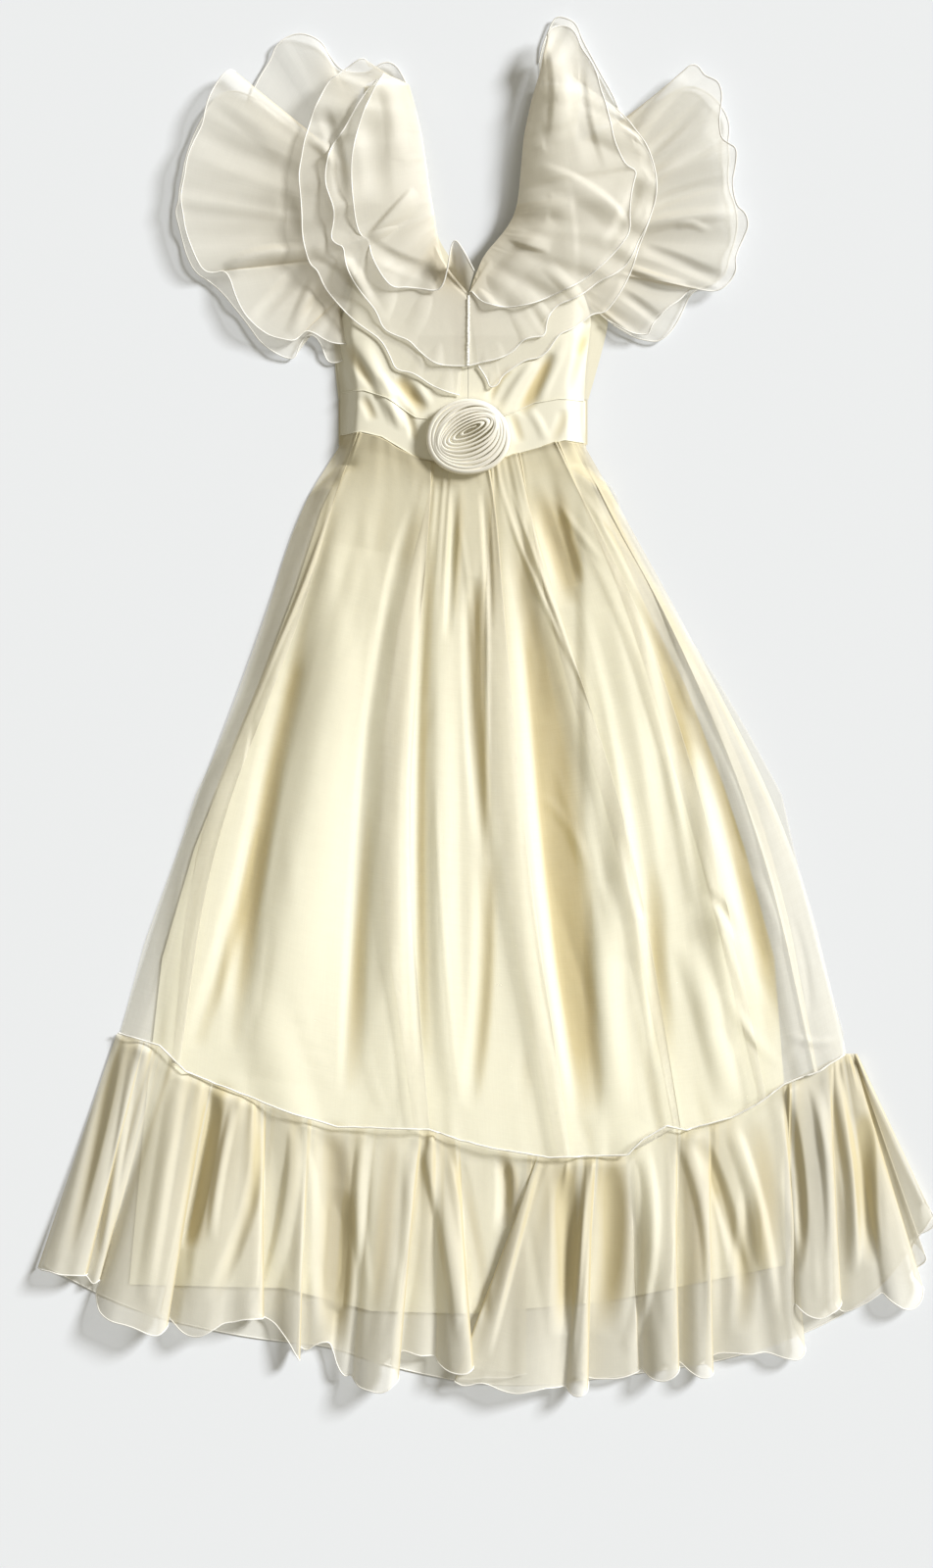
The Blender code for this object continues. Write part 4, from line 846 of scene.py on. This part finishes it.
def bodice_half(rows, side, height, foot=None):
    """One half of the bodice; its lower edge follows foot, just under it, where one is given."""
    lines = []
    for across in np.linspace(0, 1, BODICE_COLUMNS):
        line = []
        for inner_x, inner_y, outer_x, outer_y in rows:
            if inner_x == CENTRE_X:
                inner_x += side * SEAM_GAP / 2
            line.append((inner_x + (outer_x - inner_x) * across, inner_y + (outer_y - inner_y) * across))
        lines.append(resample(soften(line, 6), BODICE_ROWS))
    flat = np.array(lines)
    if foot:
        start = flat[:, :1, 1]
        drop = line_y(foot, flat[:, :1, 0]) - MIDRIFF_TUCK - start
        flat[..., 1] += drop * smooth(1 - (flat[..., 1] - start) / MIDRIFF_REACH)
    return np.dstack((flat, height(flat[..., 0], flat[..., 1])))


def bodice_front_z(x, y):
    return front_z(x, y, -LAYER) + creased(BODICE_FOLDS, x, y) * BODICE_FOLD_SHARE


def satin_painted_shade(x, y):
    """Painted shade: the satin's darker colour in its troughs, a little to the side away from the light."""
    return troughs(creased(BODICE_FOLDS, x - SATIN_SHIFT, y), SATIN_DEPTH, most=0.9)


# The satin's second colour is painted shade, put in the troughs of its folds.
satin = lustre("satin", (0.82, 0.79, 0.65), (0.65, 0.54, 0.29), roughness=0.5, sheen=0.05)
for name, rows, side in (("right", BODICE_RIGHT, 1), ("left", BODICE_LEFT, -1)):
    grid = bodice_half(rows, side, bodice_front_z, foot=MIDRIFF_TOP)
    grid[-1, :, 2] = SIDE_Z
    piece = sew(f"bodice_front_{name}", grid, satin, painted_shade=satin_painted_shade(grid[..., 0], grid[..., 1]))
for name, rows, side in (("right", BACK_RIGHT, 1), ("left", BACK_LEFT, -1)):
    grid = bodice_half(rows, side, level(BACK_Z))
    # The back halves take a little of the satin's painted shade colour all over.
    piece = sew(f"bodice_back_{name}", grid, satin, painted_shade=np.full(grid.shape[:2], 0.05))

# ---- Midriff: a curved satin band between bodice and skirt, front and back, lying over both at its seams.
# A thin piping of the same satin lies along the front's upper and lower seam.
MIDRIFF_LEFT, MIDRIFF_RIGHT = -149.0, 138.5
MIDRIFF_BACK_RIGHT, MIDRIFF_BACK_TOP = 141.0, 44.7
PIPING_RADIUS, PIPING_LIFT, PIPING_INSET = 0.7, 0.3, 2

x, down = np.meshgrid(np.linspace(MIDRIFF_LEFT, MIDRIFF_RIGHT, 120), np.linspace(0, 1, 30), indexing="ij")
top = line_y(MIDRIFF_TOP, x)
y = top + (line_y(WAIST, x) - top) * down
z = front_z(x, y) + creased(BODICE_FOLDS, x, y) * MIDRIFF_FOLD_SHARE
z[[0, -1]] = SIDE_Z
midriff_front = sew("midriff_front", np.dstack((x, y, z)), satin, painted_shade=satin_painted_shade(x, y))
for edge, line in (("upper", MIDRIFF_TOP), ("lower", WAIST)):
    x = np.linspace(MIDRIFF_LEFT + PIPING_INSET, MIDRIFF_RIGHT - PIPING_INSET, 200)
    y = line_y(line, x)
    z = front_z(x, y) + creased(BODICE_FOLDS, x, y) * MIDRIFF_FOLD_SHARE + PIPING_LIFT
    rolled_hem(f"midriff_{edge}_piping", np.column_stack((x, y, z)), satin, PIPING_RADIUS)
across = np.linspace(MIDRIFF_BACK_LEFT, MIDRIFF_BACK_RIGHT, 40)
x, y = np.meshgrid(across, np.linspace(MIDRIFF_BACK_TOP, MIDRIFF_BACK_FOOT, 10), indexing="ij")
grid = np.dstack((x, y, 0 * x + BACK_Z))
# The back band takes some of the satin's painted shade colour all over.
midriff_back = sew("midriff_back", grid, satin, painted_shade=np.full(x.shape, 0.3))

# ---- Neck ruffles: three tiers of organza a side, cut as curved strips and gathered to the neckline from
# the shoulder to the V, each with a rolled hem. They stand out over the bodice and the shoulders in flutes.
RUFFLE_LINES, RUFFLE_ROWS = 240, 52
RUFFLE_GATHERS = 0.6
FLUTE_SPACING, NECK_FLUTES = 21.0, 2.5
BULGE_PEAK = 6.75  # makes the curve v (1 - v)^2 of a ruffle's bulge reach 1, a third of its way out
BULGE_FOOT, BULGE_GROWTH = 200.0, 80  # no bulge below this height on the dress, and all of it so far above
LIFT_FOOT, LIFT_GROWTH = 130, 100  # the same for the lift of the hems
EDGE_LIFT, EDGE_WANDER, EDGE_POINTS = 1.2, 0.5, 90  # a front edge's height over its cloth, and its unevenness
FLIP_MIDDLE, FLIP_REACH, FLIP_DENSER = (-18, 200), 26, 1.2  # the doubled tip that stands up at the V
NECK_LIFT = {  # how much higher the hems stand beside the shoulder than in NECK_HEMS
    "left": {"lower": 13, "middle": 11, "upper": 5}, "right": {"lower": 0, "middle": 2, "upper": 4},
}
NECK_BULGE = {"left": {"lower": 2, "middle": 2, "upper": 5}, "right": {"lower": 3, "middle": 5, "upper": 14}}
TIER_SEAM = {"lower": 0.3, "middle": 1.8, "upper": 3.4}  # height of each tier's seam over the bodice's
TIER_FLOOR = {"lower": 1.2, "middle": 3.4, "upper": 5.6}  # and the least height of its cloth

NECK_SEAM = {
    "left": [
        (-68, 412), (-59, 380), (-52, 348), (-48, 320), (-44, 290), (-39, 262), (-35, 235), (-30, 210),
        (-20, 192), (-8, 178), (1, 167),
    ],
    "right": [
        (90, 446), (84, 424), (76, 399), (71, 376), (66, 353), (64, 330), (62, 307), (60, 284), (56, 262),
        (47, 245), (34, 229), (19, 212), (10, 190), (2, 168),
    ],
}
# x, y and z of each rolled hem from the shoulder round to the V
NECK_HEMS = {
    "left": {
        "lower": [
            (-114, 431, 16), (-120, 443, 20), (-137, 432, 18), (-150, 422, 20), (-160, 416, 16),
            (-167, 405, 18), (-174, 390, 21), (-181, 376, 18), (-185, 360, 17), (-190, 345, 20),
            (-193, 328, 22), (-197, 305, 19), (-195, 284, 21), (-193, 259, 18), (-193, 238, 20),
            (-190, 220, 22), (-184, 200, 17), (-175, 194, 19), (-168, 176, 21), (-159, 164, 17),
            (-145, 148, 20), (-130, 133, 18), (-114, 122, 21), (-100, 112, 22), (-90, 93, 25),
            (-84, 77, 27), (-66, 75, 24), (-54, 68, 27), (-43, 60, 24), (-25, 52, 26), (-9, 48, 24),
        ],
        "middle": [
            (-106, 415, 22), (-113, 407, 24), (-129, 385, 26), (-138, 367, 28), (-146, 353, 26),
            (-156, 343, 24), (-163, 324, 28), (-167, 297, 26), (-160, 277, 30), (-155, 263, 32),
            (-156, 247, 28), (-160, 230, 24), (-152, 222, 27), (-144, 220, 30), (-143, 204, 26),
            (-137, 186, 28), (-121, 163, 26), (-106, 146, 24), (-99, 125, 28), (-83, 117, 30),
            (-68, 112, 28), (-59, 102, 27), (-48, 92, 29), (-37, 84, 30), (-20, 82, 28), (0, 82, 27),
        ],
        "upper": [
            (-97, 422, 34), (-106, 408, 38), (-117, 385, 42), (-125, 365, 44), (-131, 342, 45),
            (-135, 319, 44), (-135, 296, 42), (-133, 273, 40), (-130, 247, 36), (-124, 232, 28),
            (-115, 230, 24), (-113, 213, 34), (-107, 199, 38), (-99, 185, 36), (-87, 172, 30),
            (-71, 174, 27), (-54, 172, 30), (-39, 169, 27), (-30, 172, 32), (-24, 188, 38), (-17, 233, 46),
            (-3, 212, 43), (8, 192, 35),
        ],
    },
    "right": {
        "lower": [
            (187, 362, 12), (199, 350, 15), (212, 332, 17), (218, 312, 16), (221, 293, 18), (218, 270, 16),
            (210, 245, 18), (201, 224, 16), (197, 210, 18), (191, 192, 20), (181, 172, 17), (170, 156, 19),
            (161, 145, 21), (146, 144, 18), (136, 135, 20), (122, 125, 22), (108, 120, 24), (100, 109, 22),
            (94, 99, 24), (83, 91, 26), (71, 90, 24), (61, 85, 26), (48, 76, 24), (40, 70, 26),
            (36, 60, 25), (26, 56, 27), (23, 67, 25), (13, 82, 24),
        ],
        "middle": [
            (174, 385, 16), (187, 371, 18), (201, 353, 22), (210, 339, 24), (217, 321, 26), (221, 302, 25),
            (221, 282, 27), (216, 263, 25), (209, 244, 27), (200, 229, 24), (194, 213, 27), (184, 198, 25),
            (169, 187, 27), (153, 181, 25), (139, 169, 28), (125, 160, 26), (108, 155, 29), (98, 146, 27),
            (92, 133, 29), (91, 116, 31), (78, 116, 28), (64, 112, 30), (55, 100, 27), (43, 93, 29),
            (32, 89, 27), (20, 87, 29), (9, 84, 27), (1, 82, 26),
        ],
        "upper": [
            (92, 445, 18), (94, 462, 22), (93, 470, 26), (98, 476, 28), (109, 480, 26), (121, 476, 24),
            (128, 467, 26), (133, 452, 28), (143, 438, 32), (151, 422, 34), (155, 404, 36), (162, 383, 38),
            (167, 362, 40), (170, 345, 38), (177, 329, 40), (184, 314, 38), (198, 309, 34), (194, 296, 38),
            (190, 277, 41), (189, 259, 38), (190, 237, 36), (179, 222, 38), (167, 208, 40), (153, 195, 38),
            (139, 184, 36), (125, 175, 38), (110, 168, 36), (95, 162, 33), (79, 155, 35), (62, 151, 33),
            (45, 150, 31), (30, 152, 33), (17, 156, 31), (5, 169, 28),
        ],
    },
}
NECK_CREASES = {
    "left": [
        (-115, 230, -92, 256, -62, 288, 6, 20, 6), (-97, 416, -86, 372, -84, 320, 14, 18, 3),
        (-112, 224, -80, 205, -46, 196, 16, 10, -4), (-170, 385, -152, 330, -146, 270, 12, 10, -5),
        (-186, 345, -168, 335, -152, 310, 9, 9, 4), (-182, 215, -150, 200, -118, 168, 9, 14, 4),
        (-150, 215, -128, 180, -100, 130, 7, 12, 4), (-92, 190, -94, 150, -99, 100, 20, 16, 3),
        (-44, 170, -50, 130, -60, 70, 24, 16, 2.5), (-120, 380, -108, 330, -104, 270, 20, 20, -3),
    ],
    "right": [
        (84, 313, 150, 282, 187, 240, 26, 9, 4), (61, 255, 86, 266, 124, 262, 15, 20, 3),
        (47, 235, 66, 224, 96, 216, 6, 18, 4), (72, 392, 104, 400, 140, 392, 16, 12, 2),
        (70, 350, 110, 352, 160, 372, 12, 24, -2), (96, 458, 102, 400, 96, 340, 8, 22, 4),
        (134, 440, 136, 380, 156, 310, 22, 8, -3), (112, 300, 122, 240, 121, 180, 24, 8, 1.2),
        (100, 250, 60, 208, 24, 170, 16, 22, 3), (188, 330, 160, 350, 130, 356, 14, 18, 3),
        (200, 300, 186, 262, 160, 220, 10, 10, -3), (140, 150, 120, 170, 90, 200, 10, 12, 3),
        (60, 160, 76, 126, 96, 104, 22, 14, 2.5), (32, 170, 38, 120, 46, 76, 20, 14, 2.5),
    ],
}
# Width and length of each curved strip before it was gathered, and its area
NECK_CUTS = {
    "left": {"lower": ((0.66, 0.12), 0.050), "middle": ((0.58, 0.09), 0.035), "upper": ((0.45, 0.09), 0.025)},
    "right": {"lower": ((0.58, 0.13), 0.044), "middle": ((0.58, 0.12), 0.042), "upper": ((0.5, 0.11), 0.036)},
}
ruffle_organza = organza("ruffle organza", (0.90, 0.875, 0.785), (0.68, 0.62, 0.48), cover=0.42)


def flutes(length, v, seed, spacing, height):
    """Uneven flutes that open towards a gathered ruffle's hem; length runs along the hem."""
    draw = np.random.default_rng(seed)
    knots = [0.0]
    while knots[-1] < length.max():
        knots.append(knots[-1] + spacing * draw.uniform(0.6, 1.5))
    heights = draw.uniform(0.35, 1.0, len(knots)) * np.where(np.arange(len(knots)) % 2, 1, -1)
    number = np.clip(np.searchsorted(knots, length, side="right") - 1, 0, len(knots) - 2)
    knots = np.array(knots)
    share = smooth((length - knots[number]) / (knots[number + 1] - knots[number]))
    return height * (heights[number] + (heights[number + 1] - heights[number]) * share) * v**1.4


def ruffle_grid(
    seam, hem, seam_z, low_z, seed, flute,
    spacing=FLUTE_SPACING, creases=(), bulge=0.0, matched=((0, 0), (1, 1)),
):
    """Lines from a seam to a rolled hem. matched pairs shares of the hem with shares of the seam; seam_z and
    low_z give the seam's height and the cloth's least height."""
    edge = resample(soften(hem, 5), RUFFLE_LINES)
    start = resample(soften(seam, 5), RUFFLE_LINES)
    u, v = shares(RUFFLE_LINES, RUFFLE_ROWS)
    places = np.interp(u[:, 0], *zip(*matched))
    start = np.column_stack([np.interp(places, u[:, 0], start[:, way]) for way in (0, 1)])
    x = start[:, :1] + (edge[:, :1] - start[:, :1]) * v
    y = start[:, 1:] + (edge[:, 1:2] - start[:, 1:]) * v
    rise = seam_z(start[:, :1], start[:, 1:])
    z = rise + (edge[:, 2:] - rise) * v**0.85
    z = z + bulge * BULGE_PEAK * v * (1 - v) ** 2 * smooth((start[:, 1:] - BULGE_FOOT) / BULGE_GROWTH)
    length = running(np.linalg.norm(np.diff(edge[:, :2], axis=0), axis=1))
    z = z + flutes(np.repeat(length[:, None], RUFFLE_ROWS, axis=1), v, seed, spacing, flute)
    z = z + creased(creases, x, y) * grown(v, 0.3)
    z = z + RUFFLE_GATHERS * gathers(u, v, seed=seed + 100, count=34) * grown(v, 0.05)
    return np.stack((x, y, np.maximum(z, low_z(x, y, v))), axis=-1)


def finish_ruffle(name, grid, seed, flat, area, resting, front_edge=False):
    """A ruffle's sheet with its rolled hem, and one along its front edge where that shows."""
    away = np.linalg.norm(grid[..., :2] - FLIP_MIDDLE, axis=2) / FLIP_REACH
    gathered = gathered_in(grid) * (1 + FLIP_DENSER * np.exp(-(away**2)))
    piece = sew(name, grid, ruffle_organza, gathered)
    hems = [rolled_hem(f"{name}_hem", grid[:, -1], hem_cloth)]
    if front_edge:
        wander = np.random.default_rng(seed + 7).uniform(-EDGE_WANDER, EDGE_WANDER, (EDGE_POINTS, 3))
        edge = resample(grid[-1, 2:], EDGE_POINTS) + (wander + (0, 0, EDGE_LIFT))
        hems.append(rolled_hem(f"{name}_front_edge", edge, hem_cloth, SEAM_RADIUS))


for hand, hems in NECK_HEMS.items():
    for number, (tier, hem) in enumerate(hems.items()):
        lift = NECK_LIFT[hand][tier]
        grid = ruffle_grid(
            NECK_SEAM[hand], [(x, y, z + lift * smooth((y - LIFT_FOOT) / LIFT_GROWTH)) for x, y, z in hem],
            lambda x, y: FRONT_Z + fullness(x, y) + TIER_SEAM[tier],
            lambda x, y, v: FRONT_Z + fullness(x, y) + TIER_FLOOR[tier] * grown(v, 0.1),
            seed=20 + number + (hand == "right") * 5, flute=NECK_FLUTES, creases=NECK_CREASES[hand],
            bulge=NECK_BULGE[hand][tier], matched=((0, 0), (0.5, 0.6), (1, 1)),
        )
        name, resting = f"neck_ruffle_{hand}_{tier}", f"bodice_front_{hand}_cloth"
        finish_ruffle(name, grid, number, *NECK_CUTS[hand][tier], resting, front_edge=tier == "middle")

# ---- Flutter sleeves: two layers of organza a side, cut round, gathered to the armhole under the neck
# ruffles, each with a rolled hem. They spread out flat beside the shoulders in wide shallow flutes.
FLUTTER_SEAM = {
    "left": [(-114, 300), (-117, 280), (-124, 240), (-134, 200), (-146, 165), (-152, 140)],
    "right": [(120, 342), (118, 300), (122, 250), (128, 215), (134, 185), (142, 155)],
}
FLUTTER_HEMS = {
    "left": {
        "lower": [
            (-247, 397, 5), (-273, 408, 6), (-293, 402, 5), (-309, 378, 7), (-321, 355, 5), (-328, 335, 7),
            (-332, 321, 4), (-334, 306, 6), (-338, 291, 4), (-338, 277, 7), (-343, 266, 4), (-338, 248, 7),
            (-334, 231, 4), (-329, 213, 6), (-319, 193, 4), (-302, 183, 6), (-286, 169, 5), (-275, 155, 7),
            (-266, 144, 4), (-254, 128, 6), (-243, 112, 5), (-227, 100, 7), (-212, 93, 5), (-201, 93, 6),
            (-197, 109, 4), (-189, 120, 5), (-179, 120, 7), (-171, 109, 5), (-168, 99, 7), (-164, 89, 5),
            (-154, 87, 6), (-144, 92, 4), (-128, 99, 5), (-114, 102, 4),
        ],
        "upper": [
            (-271, 428, 12), (-278, 430, 20), (-286, 423, 23), (-294, 412, 21), (-302, 397, 24),
            (-307, 379, 26), (-309, 366, 23), (-315, 354, 21), (-322, 340, 24), (-328, 323, 27),
            (-330, 306, 24), (-334, 289, 21), (-335, 275, 25), (-332, 259, 23), (-330, 243, 20),
            (-324, 225, 24), (-317, 208, 22), (-309, 194, 17), (-297, 192, 12), (-284, 195, 16),
            (-277, 184, 20), (-273, 170, 22), (-267, 155, 19), (-259, 141, 21), (-246, 128, 22),
            (-231, 118, 18), (-215, 114, 19), (-202, 112, 15), (-195, 120, 11), (-189, 125, 13),
            (-179, 122, 15), (-170, 116, 12), (-159, 110, 14), (-144, 109, 12), (-128, 112, 13),
            (-112, 109, 12),
        ],
    },
    "right": {
        "lower": [
            (224, 394, 4), (240, 405, 5), (259, 413, 7), (277, 408, 5), (292, 396, 7), (304, 379, 5),
            (308, 363, 7), (305, 345, 5), (307, 327, 6), (305, 307, 4), (307, 289, 6), (314, 273, 5),
            (317, 252, 7), (314, 231, 5), (307, 213, 7), (304, 194, 5), (291, 181, 6), (275, 177, 4),
            (261, 168, 6), (255, 154, 5), (250, 143, 7), (243, 130, 6), (233, 118, 7), (222, 112, 5),
            (210, 114, 6), (197, 117, 4), (183, 125, 5), (171, 132, 4),
        ],
        "upper": [
            (205, 377, 10), (223, 399, 13), (240, 417, 16), (253, 428, 20), (261, 435, 22), (270, 434, 20),
            (277, 423, 15), (286, 419, 19), (294, 415, 21), (298, 402, 19), (297, 388, 14), (294, 368, 18),
            (297, 350, 13), (307, 342, 19), (315, 337, 22), (314, 319, 17), (310, 300, 14), (312, 282, 17),
            (316, 268, 20), (325, 262, 24), (329, 248, 22), (324, 235, 16), (319, 224, 13), (313, 208, 18),
            (315, 197, 21), (310, 185, 18), (300, 174, 20), (288, 170, 16), (274, 172, 18), (261, 174, 12),
            (256, 169, 10), (248, 160, 14), (236, 153, 17), (223, 140, 16), (215, 130, 18), (213, 120, 16),
            (201, 120, 13), (189, 123, 15), (176, 131, 12), (164, 137, 10),
        ],
    },
}
# The upper layers alone show their folds
FLUTTER_CREASES = {
    "left": [
        (-282, 194, -247, 212, -186, 217, 12, 16, 8), (-186, 305, -250, 320, -312, 345, 22, 22, -2.5),
        (-186, 290, -250, 280, -326, 268, 24, 24, 2.5), (-190, 262, -250, 240, -322, 226, 20, 20, -2),
        (-210, 330, -250, 370, -292, 404, 20, 24, 3), (-215, 290, -206, 260, -200, 232, 12, 12, -2.5),
        (-190, 200, -220, 170, -250, 134, 12, 14, -4), (-176, 190, -190, 160, -208, 120, 10, 12, 4),
    ],
    "right": [
        (199, 244, 250, 256, 312, 262, 12, 12, 5), (199, 284, 245, 325, 300, 360, 14, 12, 5),
        (180, 330, 215, 378, 255, 424, 12, 12, 5), (205, 221, 250, 205, 304, 180, 12, 10, -5),
        (245, 244, 262, 249, 282, 240, 6, 6, 3), (200, 262, 250, 285, 306, 300, 10, 10, -4),
        (196, 310, 232, 350, 280, 396, 10, 10, -4), (188, 198, 222, 186, 258, 176, 6, 8, 6),
        (176, 172, 205, 152, 226, 134, 9, 9, -4),
    ],
}
FLUTTER_SEAM_Z = {"lower": 2.1, "upper": 3.6}
FLUTTER_FLUTES = {"lower": 1.0, "upper": 1.5}
FLUTTER_SPACING = 30
FLUTTER_BULGE = {"left": 8.0, "right": 0.0}
FLUTTER_CUTS = {"left": ((0.56, 0.17), 0.053), "right": ((0.56, 0.16), 0.049)}
for hand, hems in FLUTTER_HEMS.items():
    for number, (layer, hem) in enumerate(hems.items()):
        height = level(FLUTTER_SEAM_Z[layer])
        folds = {"creases": FLUTTER_CREASES[hand], "bulge": FLUTTER_BULGE[hand]} if layer == "upper" else {}
        grid = ruffle_grid(
            FLUTTER_SEAM[hand], hem, height, height, seed=30 + number, flute=FLUTTER_FLUTES[layer],
            spacing=FLUTTER_SPACING, **folds,
        )
        name, resting = f"flutter_{hand}_{layer}", f"bodice_back_{hand}_cloth"
        finish_ruffle(name, grid, number, *FLUTTER_CUTS[hand], resting)

# ---- Back neck ruffle: the ruffle of the back's own neckline shows above each shoulder, standing in loops.
# It is organza too, with a rolled hem, and lies on the floor behind the shoulder.
BACK_SEAM_LINES = {
    "left": [
        (-172, 290), (-158, 296), (-146, 320), (-138, 350), (-132, 392), (-122, 416), (-96, 424),
        (-76, 418),
    ],
    "right": [(86, 418), (96, 418), (110, 418), (126, 420), (140, 415), (145, 392), (147, 368)],
}
BACK_RUFFLE_HEMS = {
    "left": [
        (-258, 390, 2), (-247, 418, 3), (-229, 446, 4), (-226, 457, 6), (-215, 468, 8), (-198, 474, 9),
        (-181, 470, 8), (-169, 462, 6), (-163, 450, 4), (-150, 432, 2), (-136, 428, 2), (-114, 428, 3),
        (-106, 436, 6), (-94, 441, 8), (-83, 436, 7), (-76, 424, 5), (-70, 412, 3),
    ],
    "right": [
        (84, 440, 2), (88, 460, 3), (98, 484, 5), (104, 494, 7), (118, 491, 8), (128, 485, 6),
        (134, 468, 5), (146, 446, 4), (158, 424, 3), (172, 400, 2), (184, 368, 1.5),
    ],
}
BACK_RUFFLE_CUTS = {"left": ((0.24, 0.11), 0.017), "right": ((0.18, 0.08), 0.0075)}
for hand, hem in BACK_RUFFLE_HEMS.items():
    grid = ruffle_grid(BACK_SEAM_LINES[hand], hem, level(BACK_Z), level(BACK_Z), seed=40, flute=1.0)
    finish_ruffle(f"back_ruffle_{hand}", grid, 0, *BACK_RUFFLE_CUTS[hand], "floor")

# ---- Rosette: a bias strip of organza folded double and wound round a long slit of a heart, its folded
# edge standing up, and sewn down on the midriff. The inner turns stand higher and lie closer.
ROSE_TURNS, ROSE_STEPS = 10, 96
ROSE_HEART = (3.0, 7.0)  # the heart's place off the rosette's middle
ROSE_HEART_RADIUS, ROSE_RADIUS = 1.4, 45.5
ROSE_HEART_SQUASH, ROSE_SQUASH = 0.36, 0.95
ROSE_TILT = math.radians(28)
ROSE_HEART_HEIGHT, ROSE_EDGE_HEIGHT = 18.0, 13.0
ROSE_WOBBLE = 1.4
ROSE_LIFT = 1.0  # its foot over the satin
# The folded strip in section: how far out and how far down from its crest
ROSE_FOLD = [
    (4.9, -1.9), (3.9, -1.0), (2.6, -0.45), (1.2, -0.1), (0.0, 0.0), (-0.7, -0.35), (-1.0, -1.3),
    (-1.1, -2.8),
]


def between(heart, edge, share):
    """A measure of the rosette that is heart at its heart and edge at its edge."""
    return heart + (edge - heart) * share


wobble = np.random.default_rng(8).uniform(-1, 1, (ROSE_TURNS + 2, 6))
rose_cloth = organza("rosette organza", (0.95, 0.92, 0.82), (0.93, 0.88, 0.74), cover=0.80)
grid = []
for step in range(ROSE_TURNS * ROSE_STEPS + 1):
    part = step / (ROSE_TURNS * ROSE_STEPS)
    angle = 2 * math.pi * step / ROSE_STEPS
    turn = step / ROSE_STEPS
    own = np.array([np.interp(turn, np.arange(ROSE_TURNS + 2), wobble[:, way]) for way in range(6)])
    radius = between(ROSE_HEART_RADIUS, ROSE_RADIUS, part**0.92)
    radius += ROSE_WOBBLE * (own[0] * math.sin(2 * angle) + own[1] * math.cos(3 * angle)) * (0.3 + part)
    squash = between(ROSE_HEART_SQUASH, ROSE_SQUASH, part**0.45)
    stretch = 1.0 + (1 - part) ** 2 * 1.6
    top = between(ROSE_HEART_HEIGHT, ROSE_EDGE_HEIGHT, part**1.4)
    top += own[2] * math.sin(angle + own[3]) + 0.7 * own[4] * math.sin(3 * angle)
    line = []
    for number, (out, drop) in enumerate(ROSE_FOLD):
        if number == 0 and turn > ROSE_TURNS - 1:  # the last turn reaches down to the satin
            drop = -ROSE_EDGE_HEIGHT
        reach = radius + out * between(0.35, 1, part)
        along, across = stretch * reach * math.cos(angle), squash * reach * math.sin(angle)
        x = ROSE_HEART[0] * (1 - part) + along * math.cos(ROSE_TILT) - across * math.sin(ROSE_TILT)
        y = ROSE_HEART[1] * (1 - part) + along * math.sin(ROSE_TILT) + across * math.cos(ROSE_TILT)
        line.append((x, y, FRONT_Z + fullness(x, y) + ROSE_LIFT + max(top + drop * (1 + part * 0.4), 0)))
    grid.append(line)
rosette = sew("rosette", grid, rose_cloth)
